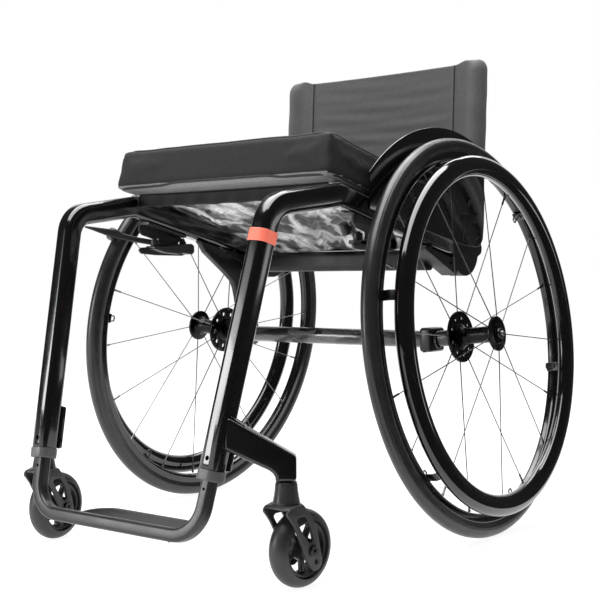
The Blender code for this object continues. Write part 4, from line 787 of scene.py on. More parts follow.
for sign, label, phase, first in ((1, "left", -4.1, 0), (-1, "right", 4.4, 1)):
    wheel = wheel_place(sign)
    zero = math.radians(90 + sign * phase)
    piece(label + "_tyre", [turned(tyre_profile(), WHEEL_STEPS, True)], [tyre_rubber], place=wheel, sharp=50)
    piece(label + "_rim", [turned(rim_profile, WHEEL_STEPS, True)], [rim_paint], place=wheel, sharp=50)

    holes = [ring_section(0.0038, 16) + (0.029 * math.cos(a), 0.029 * math.sin(a))
             for a in (zero + math.tau * (2 * k + first) / SPOKES for k in range(9))]
    flange = flat_plate(ring_section(0.0398, 96), 0.004, 0.0005, [*holes, ring_section(0.016, 48)],
                        matrix=Matrix.Translation((0, 0, -0.026)))
    hub = [turned(rounded(hub_profile, 0.0005, 2), 64, True), flange]
    spokes = [s for k in range(SPOKES) for s in spoke(k, zero, first)]
    piece(label + "_hub_and_spokes", hub, [hub_black, spoke_steel], spokes, place=wheel, sharp=40)

    oval = ring_section(HANDRIM_TALL, 40, HANDRIM_WIDE) + (HANDRIM_R, HANDRIM_OFF)
    tabs = [s for k in range(6) for s in handrim_tab(zero + sign * math.radians(-10 + 60 * k))]
    piece(label + "_handrim", [turned(oval, WHEEL_STEPS, True)], [handrim_paint, tab_metal], tabs, place=wheel,
          sharp=40)

    valve_at = zero + sign * math.radians(130)
    profile = [(0, 0.0277), (0.0026, 0.0277), (0.0034, 0.027), (0.0036, 0.0262), (0.0036, 0.0152), (0.003, 0.0146),
               (0.0024, 0.0144), (0.0024, 0.004), (0.0042, 0.0034), (0.0042, GAP), (0, GAP)]
    spin = Matrix.Rotation(valve_at, 4, "Z") @ Matrix.Rotation(-math.pi / 2, 4, "Y")
    foot = Matrix.Translation((math.cos(valve_at) * RIM_FLAT, math.sin(valve_at) * RIM_FLAT, 0))
    piece(label + "_tyre_valve", [turned(profile, 28)], [valve_plastic], place=wheel @ foot @ spin)

    plug_end, base = HUB_IN - 0.0008, -(HALF_TRACK - TUBE_X) / math.cos(CAMBER)
    profile = [(0.0085, plug_end), (0.0095, plug_end - 0.001), (0.0095, plug_end - 0.01), (0.0125, plug_end - 0.011),
               (0.0125, base + 0.0022), (0.009, base + 0.0022), (0.009, base - 0.022), (AXLE_R + GAP, base - 0.022),
               (AXLE_R + GAP, plug_end)]
    piece(label + "_camber_plug", [turned(rounded(profile, 0.0006, 3), 48, True)], [plug_alloy], place=wheel)
    tip, bore = HUB_OUT + 0.0006, 0.0041
    profile = [(0, tip - 0.016), (bore, tip - 0.016), (bore, tip + 0.0026), (0.0046, tip + 0.003),
               (0.0078, tip + 0.003), (0.0086, tip + 0.0024), (0.0088, tip), (AXLE_R, tip), (AXLE_R, base - 0.016),
               (0.0045, base - 0.019), (0, base - 0.019)]
    piece(label + "_quick_release_axle", [turned(profile, 40)], [axle_steel], place=wheel)
    profile = [(0, tip + 0.0066), (0.0014, tip + 0.0068), (0.0026, tip + 0.0072), (0.0034, tip + 0.0069),
               (0.0037, tip + 0.0062), (0.0037, tip - 0.01), (0, tip - 0.01)]
    piece(label + "_release_button", [turned(profile, 32)], [button_steel], place=wheel)

# ---- side guards
# A guard's upper edge is an arc round the axle
GUARD_R = 0.3213
guard_x, guard_front, guard_back = SEAT_HALF + RAIL_W / 2 + GAP, -0.215, 0.129
reach = np.linspace(guard_front, 0.096, 40)
top = np.stack([reach, AXLE_Z + np.sqrt(GUARD_R ** 2 - reach ** 2)], -1).tolist()
guard_outline = [(guard_front, rail_at(guard_front)[2] - 0.004)] + top + arc((0.103, 0.58), 0.024, 60, 0, 10)
guard_outline += [(guard_back, 0.515), (0.1275, 0.48), (0.1235, 0.455), (0.115, 0.445), (0.1, 0.442),
                  (0.06, 0.444)]
for sign, label in SIDES:
    guard = side_plate(guard_outline, guard_x, guard_x + 0.002, 0.0008, steps=3)
    piece(label + "_side_guard", [guard], [guard_paint], sign=sign)

# ---- hinge brackets, canes and brace
bracket_x0, bracket_x1, cheek_t = SEAT_HALF - RAIL_W / 2, SEAT_HALF + RAIL_W / 2, 0.0065
end_y, lean = RAIL_END_Y + GAP, RAIL_H / 2 * RAIL_DROP
hinge_outline = [(-0.056, rail_bottom(-0.056) - GAP), (-0.056, bracket_bottom(-0.056)), (0.038, bracket_bottom(0.038))]
hinge_outline += arc((0.07, 0.437), 0.042, 230, 345, 16) + arc((PIVOT_Y, PIVOT_Z), 0.0145, -35, 85, 12)
hinge_outline += [(0.09, 0.456), (end_y + lean + 0.0002, rail_top(end_y) - 0.001),
                  (end_y - lean, rail_bottom(end_y) - GAP)]
lug_x0, lug_x1 = bracket_x0 + cheek_t + GAP, bracket_x1 - cheek_t - GAP
lug_outline = arc((PIVOT_Y, PIVOT_Z), 0.0125, 150, 330, 14) + [(0.131, 0.448), (0.14, 0.464), (0.124, 0.464)]
for sign, label in SIDES:
    hinge = side_plate(hinge_outline, bracket_x0, bracket_x1, 0.0016, steps=3)
    hinge = piece(label + "_hinge_bracket", [hinge], [bracket_paint, bolt_steel], sign=sign)
    slot_low, slot_high = (bracket_x0 + cheek_t, 0.093, 0.423), (bracket_x1 - cheek_t, 0.2, 0.5)
    carve(hinge, mirrored(brick(slot_low, slot_high, 0.0008), sign))
    heads = [rod(0.0062, (x, PIVOT_Y, PIVOT_Z), (x + d, PIVOT_Y, PIVOT_Z), 28, 0.0006)
             for x, d in ((bracket_x0 + 0.002, -0.0014), (bracket_x1 - 0.002, 0.0014))]
    pin = rod(0.005, (bracket_x0 + 0.002, PIVOT_Y, PIVOT_Z), (bracket_x1 - 0.002, PIVOT_Y, PIVOT_Z), 24)
    bolts = [rod(0.0036, (x, y, bracket_bottom(y) + 0.012), (x + d, y, bracket_bottom(y) + 0.012), 20, 0.0005)
             for y in (-0.04, 0.02) for x, d in ((bracket_x0 + 0.001, -0.0016), (bracket_x1 - 0.001, 0.001))]
    piece(label + "_hinge_bracket", [*heads, pin, *bolts], [bolt_steel], sign=sign, name=label + "_hinge_bolts")

    cane = carried([cane_at(z) for z in (CANE_BASE_Z, 0.5, 0.6, CANE_TOP_Z)], ring_section(CANE_R, 40), soft=0.0015)
    lug = side_plate(rounded(lug_outline, 0.002, 3), lug_x0, lug_x1, 0.0008,
                     [ring_section(0.0053, 24) + (PIVOT_Y, PIVOT_Z)])
    piece(label + "_back_cane", [cane, lug], [cane_paint], sign=sign, sharp=40)

ends = [cane_at(BRACE_Z, -1), cane_at(BRACE_Z, 1)]
inset = CANE_R * 0.97 + GAP
brace = rounded([ends[0] + (inset, 0, 0), ends[0] + (0.045, 0.03, 0), ends[1] + (-0.045, 0.03, 0),
                 ends[1] - (inset, 0, 0)], [0.025, 0.025], 12, closed=False)
piece("backrest_brace", [carried(brace, ring_section(0.008, 24), (0, 0, 1))], [cane_paint])


# ---- brakes
def under(y, drop):
    return rail_bottom(y) - GAP - drop


pad_reach = WHEEL_R + PAD_R + GAP
pad_sine = (PAD_Z - AXLE_Z) / math.cos(CAMBER) / pad_reach
pad_y = -pad_reach * math.sqrt(1 - pad_sine ** 2)
pad_at = (BRAKE_Y - pad_y + PAD_OUT * math.sin(BRAKE_ON)) / math.cos(BRAKE_ON)
pad_mid = np.array([PAD_OUT, -pad_at, PAD_Z])
pad_axis = np.array([math.sin(BRAKE_ON) * pad_sine, math.cos(BRAKE_ON) * pad_sine,
                     math.sqrt(1 - pad_sine ** 2)]) * PAD_HALF
web_x0, web_x1, hub_z0, hub_z1 = SEAT_HALF + 0.0075, SEAT_HALF + 0.0115, 0.446, 0.456
ledge_z = hub_z0 - GAP
saddle = [(-0.248, under(-0.248, 0)), (-0.248, under(-0.248, 0.004)), (-0.16, under(-0.16, 0.004)),
          (-0.16, under(-0.16, 0))]
web = [(-0.248, under(-0.248, 0.002)), (-0.25, 0.47), (-0.242, 0.463), (-0.227, 0.4596), (-0.2172, 0.457),
       (-0.216, 0.4515), (-0.2175, 0.4458), (-0.23, 0.444), (-0.246, 0.443), (-0.25, 0.4385), (-0.244, 0.433),
       (-0.21, 0.431), (-0.15, 0.431), (-0.134, 0.435), (-0.133, 0.442), (-0.145, under(-0.145, 0.002))]
body = [(-0.232, ledge_z), (-0.212, ledge_z), (-0.144, 0.451), (-0.138, 0.448), (-0.137, 0.438),
        (-0.142, 0.433), (-0.165, 0.435), (-0.171, 0.433), (-0.205, 0.435), (-0.232, 0.4405)]
lever_line = np.array([(0, 0, 0.451), (0, -0.03, 0.456), (0, -0.052, 0.461), (0, -0.062, 0.465),
                       (0, -0.078, 0.4685), (0, -0.1, 0.474), (0, -BRAKE_LEN, 0.4765)])
lever_deep = np.array([0.009, 0.009, 0.01, 0.014, 0.011, 0.0055, 0.003])
lever_wide = np.array([0.005, 0.005, 0.005, 0.005, 0.005, 0.005, 0.003])
for sign, label in SIDES:
    holes = [ring_section(0.0026, 16) + at for at in ((-0.206, 0.456), (-0.19, 0.444), (-0.156, 0.452))]
    shells = [side_plate(saddle, SEAT_HALF - 0.012, web_x1, 0.0006),
              side_plate(rounded(web, 0.002, 3), web_x0, web_x1, 0.0008, holes),
              side_plate(rounded(body, 0.0018, 3), SEAT_HALF - 0.0095, web_x1, 0.0014),
              rod(0.0036, (BRAKE_X, BRAKE_Y, ledge_z - 0.002), (BRAKE_X, BRAKE_Y, hub_z1 + 0.002), 20, 0.0004)]
    screws = [rod(0.0034, (web_x1 - 0.002, y, 0.44), (web_x1 + 0.0012, y, 0.44), 18, 0.0004)
              for y in (-0.21, -0.156)]
    piece(label + "_brake_mount", shells, [brake_paint, bolt_steel], screws, sign)

    angle = BRAKE_ON if sign < 0 else BRAKE_FOLDED
    swing = Matrix.Translation((sign * BRAKE_X, BRAKE_Y, 0)) @ Matrix.Rotation(sign * angle, 4, "Z")
    fine = np.linspace(0, 6, 37)
    line = np.stack([np.interp(fine, range(7), lever_line[:, k]) for k in range(3)], -1)
    deep, wide = (np.interp(fine, range(7), v) for v in (lever_deep, lever_wide))
    rows = box_section(1, 1, 0.35, 4) * np.stack([wide, deep], -1)[:, None]
    blade = carried(line, rows, soft=0.0008)
    hub = turned(rounded([(0.0039, hub_z0), (0.0068, hub_z0), (0.0068, hub_z1), (0.0039, hub_z1)], 0.0006, 3), 28, True)
    plug_low, plug_high = (np.array(c) for c in ((0.001, -pad_at - 0.004, PAD_Z - 0.004),
                                                 (PAD_OUT - 0.0028, -pad_at + 0.004, PAD_Z + 0.004)))
    plug = brick(plug_low, plug_high, 0.0006)
    piece(label + "_brake_lever", [blade, hub, plug], [brake_paint], sign=sign, place=swing)
    pad = rod(PAD_R, pad_mid - pad_axis, pad_mid + pad_axis, 32, 0.0012)
    pad = piece(label + "_brake_pad", [pad], [tyre_rubber], sign=sign, place=swing)
    hollow = brick(plug_low - (0.001, GAP, GAP), plug_high + (GAP, GAP, GAP), 0.0004)
    carve(pad, moved(mirrored(hollow, sign), swing))


# ---- fabrics
def knit(name, colour, rough, grain, depth, sheen=0.2, tint=0.15, soft=0.0008):
    """Stretch cloth on Object coordinates: a fine even knit, its threads slightly uneven in tone."""
    mat = paint(name, colour, rough, specular=0.25, sheen=sheen)
    fine = object_noise(mat, grain, 2)
    two_tone(mat, object_noise(mat, 160, 5), colour * (1 - tint), colour * (1 + tint), 0.35, 0.65)
    raised(mat, object_noise(mat, 16, 3), soft, 0.6)
    raised(mat, fine, depth)
    return mat


# Tone, roughness, grain, relief, sheen, change of tone and relief of the soft waves
cushion_cloth = knit("cushion_charcoal_cloth", 0.016, 0.75, 1500, 0.00018, 0.03, 0.1)
cushion_base = knit("cushion_grey_base", 0.19, 0.4, 1100, 0.00008, 0.1, 0.12, 0.0004)
piping_cloth = knit("cushion_piping", 0.024, 0.6, 1600, 0.0001, 0.05)
back_cloth = knit("backrest_grey_stretch", 0.078, 0.8, 1400, 0.00012, 0.12, 0.05, 0.0006)
seam_thread = knit("backrest_seam", 0.007, 0.8, 1500, 0.0002)
# The hem: near black and darker than the sling, partly its own tone and partly painted shade under the cushion's front
hem_cloth_and_painted_shade = knit("seat_hem_and_painted_shade", 0.012, 0.42, 1400, 0.00008, 0.0, 0.05)


def sling_cloth():
    """Silvery coated nylon under the seat, crumpled into long, streaky folds. Their bright and dark reflections are
    painted into the base colour, and the same pattern sets the roughness and a relief.
    """
    mat = paint("seat_sling_nylon", 0.3, 0.3, metal=0.35, specular=0.6)
    crumple_and_painted_sheen = warped(mat, "TexNoise", (1.0, 0.42, 1.0), (0, 0, 0.5), (9.0, 2.0), (0.1, 0.1, 0.0),
                     Scale=34.0, Detail=2.5, Roughness=0.45, Distortion=0.5).outputs["Fac"]
    # Painted reflection: the base colour runs from dark to bright along the crumpled folds
    two_tone(mat, crumple_and_painted_sheen, 0.035, 0.66, 0.42, 0.6)
    spread_to(mat, crumple_and_painted_sheen, "Roughness", 0.36, 0.24)
    raised(mat, crumple_and_painted_sheen, 0.003, 0.8)
    raised(mat, object_noise(mat, 1500, 2), 0.0001)
    return mat


def wrinkle(x, y):
    """Long soft folds: sines of several lengths and headings, each bent by the one before it, with their crests
    drawn sharper than their hollows. It runs from about -1 to 1."""
    total, shift = 0 * x, np.sin(x / 0.11 * math.tau + 0.6) * np.cos(y / 0.17 * math.tau)
    for k, (length, heading, share) in enumerate(((0.085, 1.15, 1.0), (0.06, 2.35, 0.8), (0.047, 0.55, 0.55),
                                                  (0.034, 1.75, 0.35))):
        along = (x * math.cos(heading) + y * math.sin(heading)) / length * math.tau
        wave = np.sin(along + 2.2 * shift + k * 1.3)
        total = total + share * np.sign(wave) * np.abs(wave) ** 0.8
        shift = wave
    return total / 2.2


def grid_sheet(name, points, looks, body, replaced, thick):
    """An open sheet of cloth from a grid of points, given its thickness by a Solidify modifier."""
    obj = placed(name, *shell(points + SHIFT, round_v=False), looks)
    obj.data.shade_smooth()
    mod = obj.modifiers.new("thickness", "SOLIDIFY")
    mod.thickness, mod.offset = thick, -1
    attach(obj, body)
    if replaced:
        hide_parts(replaced)
    return obj


# How deep the sling hangs at its front and how much deeper at the crossbar, the height of its folds, and the hem's
# depth and thickness
SAG_FRONT, SAG_MORE, FOLD_H, HEM_DEEP, HEM_T = 0.006, 0.024, 0.005, 0.0185, 0.0022


def seat_sling():
    """The sling runs from rail to rail and hangs slack between them, lowest by the crossbar. u goes across and v
    back."""
    v, u = np.meshgrid(np.linspace(0, 1, 161), np.linspace(-1, 1, 221), indexing="ij")
    x, y = (SEAT_HALF + 0.004) * u, SLING_Y0 + (SLING_Y1 - SLING_Y0) * v
    inside = SEAT_HALF - RAIL_W / 2 - 0.002
    dome = 1 - np.minimum(1, np.abs(x) / inside) ** 4
    depth = SAG_FRONT + SAG_MORE * np.minimum(1, v / 0.9) ** 1.2
    z = rail_top(y) + GAP + SLING_T - dome * (depth - FOLD_H * wrinkle(x, y) * np.minimum(1, 0.15 + 3 * v))
    z = np.where(dome > 0.2, np.maximum(z, CROSSBAR_Z + CROSSBAR_H / 2 + 0.003), z)
    return grid_sheet("seat_sling_sheet", np.stack([x, y, z], -1), [sling_cloth()], "chair", "seat_sling",
                      SLING_T - 0.0004)


seat_sling()


def front_hem():
    """The sling's turned-down front edge between the rails: a doubled strip that bellies a little. Its near-black cloth
    is partly the hem's own dark tone and partly painted shade under the cushion's front edge.
    """
    w, u = np.meshgrid(np.linspace(0, 1, 13), np.linspace(-1, 1, 121), indexing="ij")
    x = (SEAT_HALF - RAIL_W / 2 - 0.002) * u
    sag = 0.01 * (1 - u ** 2) * math.sin(math.pi * 0.08)
    top = rail_top(SLING_Y0) + GAP + SLING_T - sag
    y = SLING_Y0 - 0.004 * w + 0.0006 * np.sin(9 * u * math.pi) * w
    z = top - 0.0005 - HEM_DEEP * w + 0.0006 * np.cos(7 * u * math.pi) * w
    return grid_sheet("seat_sling_hem", np.stack([x, y, z], -1), [hem_cloth_and_painted_shade], "chair", None, HEM_T)


front_hem()


# How far the cushion's skin moves out when it is filled, and the slope from which a face belongs to its base
CUSHION_SWELL, BASE_FACES_DOWN = 0.0035, -0.35
# How much narrower the cushion is at its top, and how far its front and back lean in
CUSHION_TAPER, FRONT_LEAN, BACK_LEAN = 0.03, 0.014, 0.006


def cushion_block(shrink, radius):
    """The cushion before it swells: a block whose edges are rounded, narrower at its top, whose base follows the
    rails. u goes across, v back and w up, and a sine sets their lines closer towards the edges."""
    bm = bmesh.new()
    bmesh.ops.create_cube(bm, size=2)
    bmesh.ops.subdivide_edges(bm, edges=bm.edges, cuts=30, use_grid_fill=True)
    mesh = bpy.data.meshes.new("cushion_block")
    bm.to_mesh(mesh)
    bm.free()
    cube, faces = as_shell(mesh)
    bpy.data.meshes.remove(mesh)
    half = np.array([CUSHION_HALF, (CUSHION_Y1 - CUSHION_Y0) / 2, CUSHION_T / 2]) - shrink
    cube = np.sin(cube * math.pi / 2)
    solid = cube * half
    bend = np.where(cube[:, 2:] < 0, radius * 1.6, radius)
    inner = half - bend
    core = np.clip(solid, -inner, inner)
    solid = core + unit(solid - core) * bend
    u, v, w = (solid / half).T
    lift = (w + 1) / 2
    x = solid[:, 0] * (1 - CUSHION_TAPER * lift)
    y0, y1 = CUSHION_Y0 + FRONT_LEAN * lift + shrink, CUSHION_Y1 - BACK_LEAN * lift - shrink
    y = y0 + (y1 - y0) * (v + 1) / 2
    z = rail_top(y) + 2 * GAP + SLING_T + shrink * 0.5 + (CUSHION_T - shrink) * lift
    z = z + 0.004 * (1 - u ** 4) * (1 - v ** 4) * lift
    return np.stack([x, y, z], -1), faces


def swollen(obj, voxel, pressure, cap, frames=20):
    """Cloth swells under pressure from inside, with no gravity, and no point moves further than the cap."""
    scene = bpy.context.scene
    mod = obj.modifiers.new("even_mesh", "REMESH")
    mod.mode, mod.voxel_size = "VOXEL", voxel
    graph = bpy.context.evaluated_depsgraph_get()
    even = bpy.data.meshes.new_from_object(obj.evaluated_get(graph))
    obj.modifiers.remove(mod)
    obj.data = even
    start = as_shell(even)[0]
    cloth = obj.modifiers.new("swell", "CLOTH")
    cloth.settings.use_pressure = True
    cloth.settings.uniform_pressure_force = pressure
    cloth.settings.effector_weights.gravity = 0
    cloth.settings.quality = 5
    for f in range(1, frames + 1):
        scene.frame_set(f)
    result = bpy.data.meshes.new_from_object(obj.evaluated_get(bpy.context.evaluated_depsgraph_get()))
    end = as_shell(result)[0]
    bpy.data.meshes.remove(result)
    obj.modifiers.remove(cloth)
    scene.frame_set(1)
    step = end - start
    far = np.maximum(np.linalg.norm(step, axis=1, keepdims=True), 1e-9)
    even.vertices.foreach_set("co", (start + step * np.minimum(1, cap / far)).ravel())
    even.update()
    return even


def seat_cushion():
    """The filled cushion, stretched back to its own length and width, flat on the sling, grey where it faces down."""
    shrink = CUSHION_SWELL
    points, faces = cushion_block(shrink, radius=0.005)
    obj = placed("seat_cushion_pad", points + SHIFT, faces)
    swollen(obj, voxel=0.005, pressure=4.0, cap=CUSHION_SWELL + 0.0006)
    mesh = obj.data
    points = as_shell(mesh)[0] - SHIFT
    points[:, 0] *= CUSHION_HALF / np.abs(points[:, 0]).max()
    points[:, 1] = np.interp(points[:, 1], [points[:, 1].min(), points[:, 1].max()], [CUSHION_Y0, CUSHION_Y1])
    points[:, 2] = np.maximum(points[:, 2], rail_top(points[:, 1]) + 2 * GAP + SLING_T)
    mesh.vertices.foreach_set("co", (points + SHIFT).ravel())
    mesh.shade_smooth()
    mesh.update()
    normal = np.zeros(len(mesh.polygons) * 3)
    mesh.polygons.foreach_get("normal", normal)
    mesh.materials.clear()
    for look in (cushion_cloth, cushion_base):
        mesh.materials.append(look)
    mesh.polygons.foreach_set("material_index", (normal.reshape(-1, 3)[:, 2] < BASE_FACES_DOWN).astype(int))
    mod = obj.modifiers.new("smooth", "SUBSURF")
    mod.levels = mod.render_levels = 1
    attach(obj, "chair")
    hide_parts("seat_cushion")
    return obj


def nearest(path, cloud):
    """Each point of a path moved on to the nearest point of a cloud."""
    gap = ((path[:, None] - cloud[None]) ** 2).sum(-1)
    return cloud[gap.argmin(1)]


def smoothed(path, rounds=4):
    """A closed path with every point drawn towards the middle of its neighbours."""
    for _ in range(rounds):
        path = path * 0.5 + (np.roll(path, 1, 0) + np.roll(path, -1, 0)) * 0.25
    return path


def resampled(loop, count):
    """A closed line with points an even distance apart."""
    ends = np.concatenate([loop, loop[:1]])
    run = np.r_[0, np.cumsum(np.linalg.norm(np.diff(ends, axis=0), axis=1))]
    at = np.linspace(0, run[-1], count, endpoint=False)
    return np.stack([np.interp(at, run, ends[:, k]) for k in range(loop.shape[1])], -1)


def cushion_piping(cushion):
    """Cords sewn into the cushion's upper and lower edges, each a closed path laid on the swollen skin."""
    skin = as_shell(cushion.data)[0] - SHIFT
    shells = []
    for lift in (0.0, 1.0):
        half_x = CUSHION_HALF - 0.007 * lift - 0.0045
        y0, y1 = CUSHION_Y0 + FRONT_LEAN * lift + 0.0045, CUSHION_Y1 - BACK_LEAN * lift - 0.0045
        loop = rounded([(half_x, y0), (half_x, y1), (-half_x, y1), (-half_x, y0)], 0.01, 6)
        fine = resampled(loop, 260)
        z = rail_top(fine[:, 1]) + 2 * GAP + SLING_T + 0.0055 + (CUSHION_T - 0.01) * lift
        path = smoothed(nearest(np.c_[fine, z], skin), 6)
        shells.append(carried(path, ring_section(0.0019, 8), (0, 0, 1), closed=True))
    return shells


cushion = seat_cushion()
piece("seat_cushion", cushion_piping(cushion), [piping_cloth], name="seat_cushion_piping")


# ---- backrest
# Where the seams run, half a seam's width, the height from which the sleeves close, and the panel's distance in
# front of the canes
SEAM_X, SEAM_HALF, SLEEVE_DOME, PANEL_FRONT = 0.1475, 0.0016, 0.93, 0.0095


def eased(share):
    """A share held between 0 and 1, with a smooth start and end."""
    share = np.clip(share, 0, 1)
    return share * share * (3 - 2 * share)


def backrest_sheet():
    """One sheet, seen from above: it starts at the right seam behind the panel, goes round the right cane, across
    the front and round the left cane to its seam. Rows climb the canes' lean. Towards the top the sleeves close over
    the canes' ends as a dome: their radius falls as a quarter circle. Shallow folds run across the panel between the
    sleeves, stronger lower down."""
    wrap = np.radians(np.linspace(-90, 90, 33))
    by_seam = SEAM_X + np.array([-0.0024, -SEAM_HALF, 0, SEAM_HALF, 0.0024])
    over_sleeve = np.linspace(SEAM_X + 0.003, CANE_X - 0.001, 18)
    half_front = np.concatenate([np.linspace(0, SEAM_X - 0.003, 56), by_seam, over_sleeve])
    half_back = np.linspace(CANE_X - 0.001, SEAM_X + 0.0015, 12)
    u, n = half_front / CANE_X, len(half_front)
    flip, grid = np.array([-1, 1, 1]), []
    for v in np.linspace(0, 1, 111):
        dome = math.sqrt(max(0.0, 1 - (max(0.0, v - SLEEVE_DOME) / (1.0005 - SLEEVE_DOME)) ** 2))
        r = (SLEEVE_R - 0.0004) * (0.03 + 0.97 * dome)
        x = np.concatenate([half_front, CANE_X + r * np.cos(wrap), half_back])
        side = eased((x - SEAM_X) / 0.022)
        high = BACK_HEM_Z + (BACK_TOP_Z + 0.0055 - BACK_HEM_Z) * v
        z = (BRACE_Z + 0.012 + (BACK_TOP_Z - BRACE_Z - 0.012) * v) * (1 - side) + high * side
        sag = 0.016 * (1 - u ** 2) * (1 - 0.4 * v)
        bulge = eased((half_front - (CANE_X - 0.021)) / 0.02)
        front = -PANEL_FRONT - (r - PANEL_FRONT) * bulge + sag
        front = front - 0.0012 * np.exp(-((half_front - SEAM_X) / 0.004) ** 2)
        meets = np.interp(half_back, half_front, front) + 0.0012
        behind = meets + (np.linspace(r, front[n - len(over_sleeve)] + 0.0042, len(half_back)) - meets) * dome
        y = np.concatenate([front, r * np.sin(wrap), behind])
        right = np.stack([x, y, z], -1)
        row = np.concatenate([right[:0:-1] * flip, right])
        drift = row[:, 0] / CANE_X
        fold = 0.0008 * np.sin(row[:, 2] / 0.031 * math.tau + 2.2 * np.sin(2.1 * drift + 0.7) + 1.5 * drift)
        fold = fold + 0.0005 * np.sin(row[:, 2] / 0.019 * math.tau - 3.0 * drift ** 2 + 0.4)
        inner = np.abs(row[:, 0]) < SEAM_X
        over = np.clip((np.abs(row[:, 0]) - SEAM_X) / (CANE_X - SEAM_X), 0, 1)
        row[:, 1] += fold * np.where(inner, (1 - 0.75 * v) * (1 - (row[:, 0] / SEAM_X) ** 6), 0)
        row[:, 1] += np.where(inner, 0, 0.0005 * np.sin(row[:, 2] / 0.06 * math.tau + drift * 9)) * over
        row[:, 1] += CANE_BASE_Y + CANE_LEAN * (row[:, 2] - CANE_BASE_Z)
        grid.append(row)
    return np.array(grid)


back_points = backrest_sheet()
back = grid_sheet("backrest_sheet", back_points, [back_cloth, seam_thread], "backrest", "backrest_sling", 0.0018)
columns = np.abs(back_points[0, :, 0])
near_seam = np.abs(columns - SEAM_X) < SEAM_HALF + 0.0002
seam = near_seam[:-1] & near_seam[1:]
back.data.polygons.foreach_set("material_index", np.tile(seam.astype(int), len(back_points) - 1))


# ---- studio
# The floor's own tone, the share of it that shows under the white glow, and that glow
FLOOR_TONE, FLOOR_SHADE, FLOOR_GLOW = 0.88, 0.3, 0.9
# What the air gives as fill, and the faint glow the black cloths give off by emission, a painted stand-in for the
# little light black cloth reflects
AIR_FILL, FLAG_GLOW = 0.42, 0.05
# The black wall's radius, how many degrees it goes to each side of the camera, and its top
WALL_R, WALL_TURN, CEILING_Z = 4.2, 140, 3.2


def bare_tree(owner):
    """The emptied node tree of a material or a world."""
    owner.use_nodes = True
    owner.node_tree.nodes.clear()
    return owner.node_tree


def studio_floor():
    """A pale floor. Where it shows as background it glows nearly white, and a share of its own matt tone on top of
    that keeps the object's shadow."""
    bpy.ops.mesh.primitive_plane_add(size=60, location=(0, 0, -0.0005))
    floor = bpy.context.object
    floor.name = "studio_floor"
    mat = bpy.data.materials.new("studio_floor_white")
    tree = bare_tree(mat)
    matt = node(tree, "BsdfDiffuse", Color=(FLOOR_TONE,) * 3 + (1,))
    shade = node(tree, "BsdfDiffuse", Color=(FLOOR_TONE * FLOOR_SHADE,) * 3 + (1,))
    white = node(tree, "Emission", Strength=FLOOR_GLOW)
    glowing = node(tree, "AddShader", _0=white.outputs[0], _1=shade.outputs[0])
    mix = node(tree, "MixShader", _0=background_rays(tree), _1=matt.outputs[0], _2=glowing.outputs[0])
    node(tree, "OutputMaterial", Surface=mix.outputs[0])
    floor.data.materials.append(mat)


def background_rays(tree):
    """1 for a ray that shows the background: seen by the camera, in gloss or through glass."""
    path = node(tree, "LightPath")
    total = path.outputs["Is Camera Ray"]
    for name in ("Is Glossy Ray", "Is Transmission Ray"):
        total = node(tree, "Math", operation="MAXIMUM", _0=total, _1=path.outputs[name]).outputs[0]
    return total


def studio_world():
    """White air: full where it shows as background, and a fill of its own for every other ray."""
    world = bpy.data.worlds.new("studio_air")
    bpy.context.scene.world = world
    tree = bare_tree(world)
    fill, white = (node(tree, "Background", Color=(1, 1, 1, 1), Strength=glow) for glow in (AIR_FILL, 1.0))
    mix = node(tree, "MixShader", _0=background_rays(tree), _1=fill.outputs[0], _2=white.outputs[0])
    node(tree, "OutputWorld", Surface=mix.outputs[0])


def softbox(name, at, towards, width, height, glow):
    """A rectangular lamp. Its watts follow from how bright its face is."""
    data = bpy.data.lights.new(name + "_softbox", "AREA")
    data.shape, data.size, data.size_y = "RECTANGLE", width, height
    data.energy = glow * math.pi * width * height
    lamp = linked(data.name, data)
    lamp.location = at
    lamp.rotation_euler = (Vector(towards) - Vector(at)).to_track_quat("-Z", "Y").to_euler()


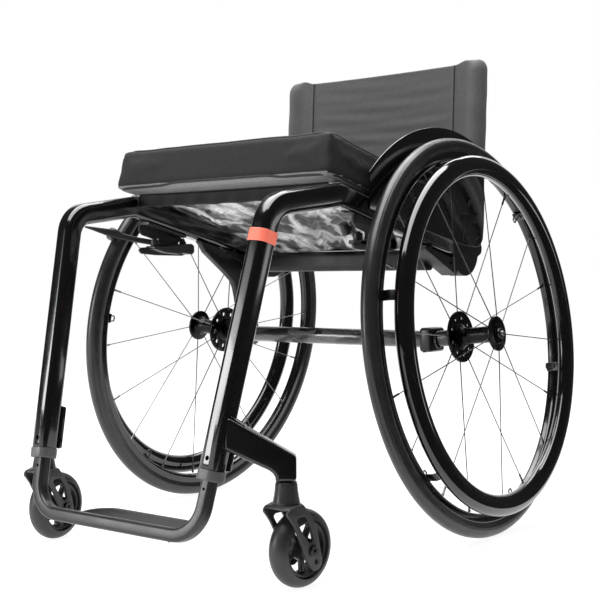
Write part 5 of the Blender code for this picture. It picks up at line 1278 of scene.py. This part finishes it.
def black_cloths():
    """Black cloths that only gloss sees, as round a real set: a wall round it, open behind the object where the white
    paper hangs, a ceiling, and one lying on the floor beyond the near side. They are not lit: they glow faintly by
    emission, a painted stand-in for the light black cloth reflects."""
    turn = np.radians(np.linspace(CAMERA_TURN - WALL_TURN, CAMERA_TURN + WALL_TURN, 80))
    high, turn = np.meshgrid(np.linspace(-0.4, CEILING_Z, 8), turn, indexing="ij")
    wall = np.stack([WALL_R * np.sin(turn), -WALL_R * np.cos(turn), high], -1)
    turn = np.linspace(0, math.tau, 64, endpoint=False)
    reach, turn = np.meshgrid([0.02, 1.5, 3.0, WALL_R + 0.1], turn, indexing="ij")
    ceiling = np.stack([reach * np.sin(turn), reach * np.cos(turn), CEILING_Z + 0 * turn], -1)
    v, u = np.meshgrid(np.linspace(-3.4, 3.4, 12), np.linspace(0.42, 4.0, 12), indexing="ij")
    lying = np.stack([u, v, 0.0008 + 0 * u], -1)
    mat = bpy.data.materials.new("black_cloth")
    tree = bare_tree(mat)
    glow = node(tree, "Emission", Color=(1, 1, 1, 1), Strength=FLAG_GLOW)
    node(tree, "OutputMaterial", Surface=glow.outputs[0])
    for name, made in (("black_cloth_wall", shell(wall, round_v=False)), ("black_cloth_ceiling", shell(ceiling)),
                       ("black_cloth_floor", shell(lying, round_v=False))):
        flag = placed(name, *made, [mat])
        flag.visible_camera = flag.visible_diffuse = flag.visible_transmission = flag.visible_shadow = False


studio_floor()
studio_world()
black_cloths()
for lamp in (("left_front", (-1.34, -1.95, 0.6), (0.17, -0.34, 0.28), 0.62, 0.72, 11.0),
             ("left_front_middle", (-1.34, -1.95, 1.05), (0.17, -0.34, 0.45), 0.58, 0.17, 5.0),
             ("left_front_upper", (-1.34, -1.95, 1.24), (0.17, -0.34, 0.45), 0.54, 0.2, 2.0),
             ("upper_back", (-0.55, 1.6, 1.85), (0.19, -0.2, 0.5), 1.5, 0.6, 4.5),
             ("right_back", (2.12, 1.91, 0.23), (0.17, -0.3, 0.3), 0.35, 0.44, 2.5),
             ("overhead", (-0.3, -0.15, 2.45), (-0.2, -0.15, 0.4), 3.0, 2.2, 6.5)):
    softbox(*lamp)
bpy.context.scene.view_settings.view_transform = "Standard"
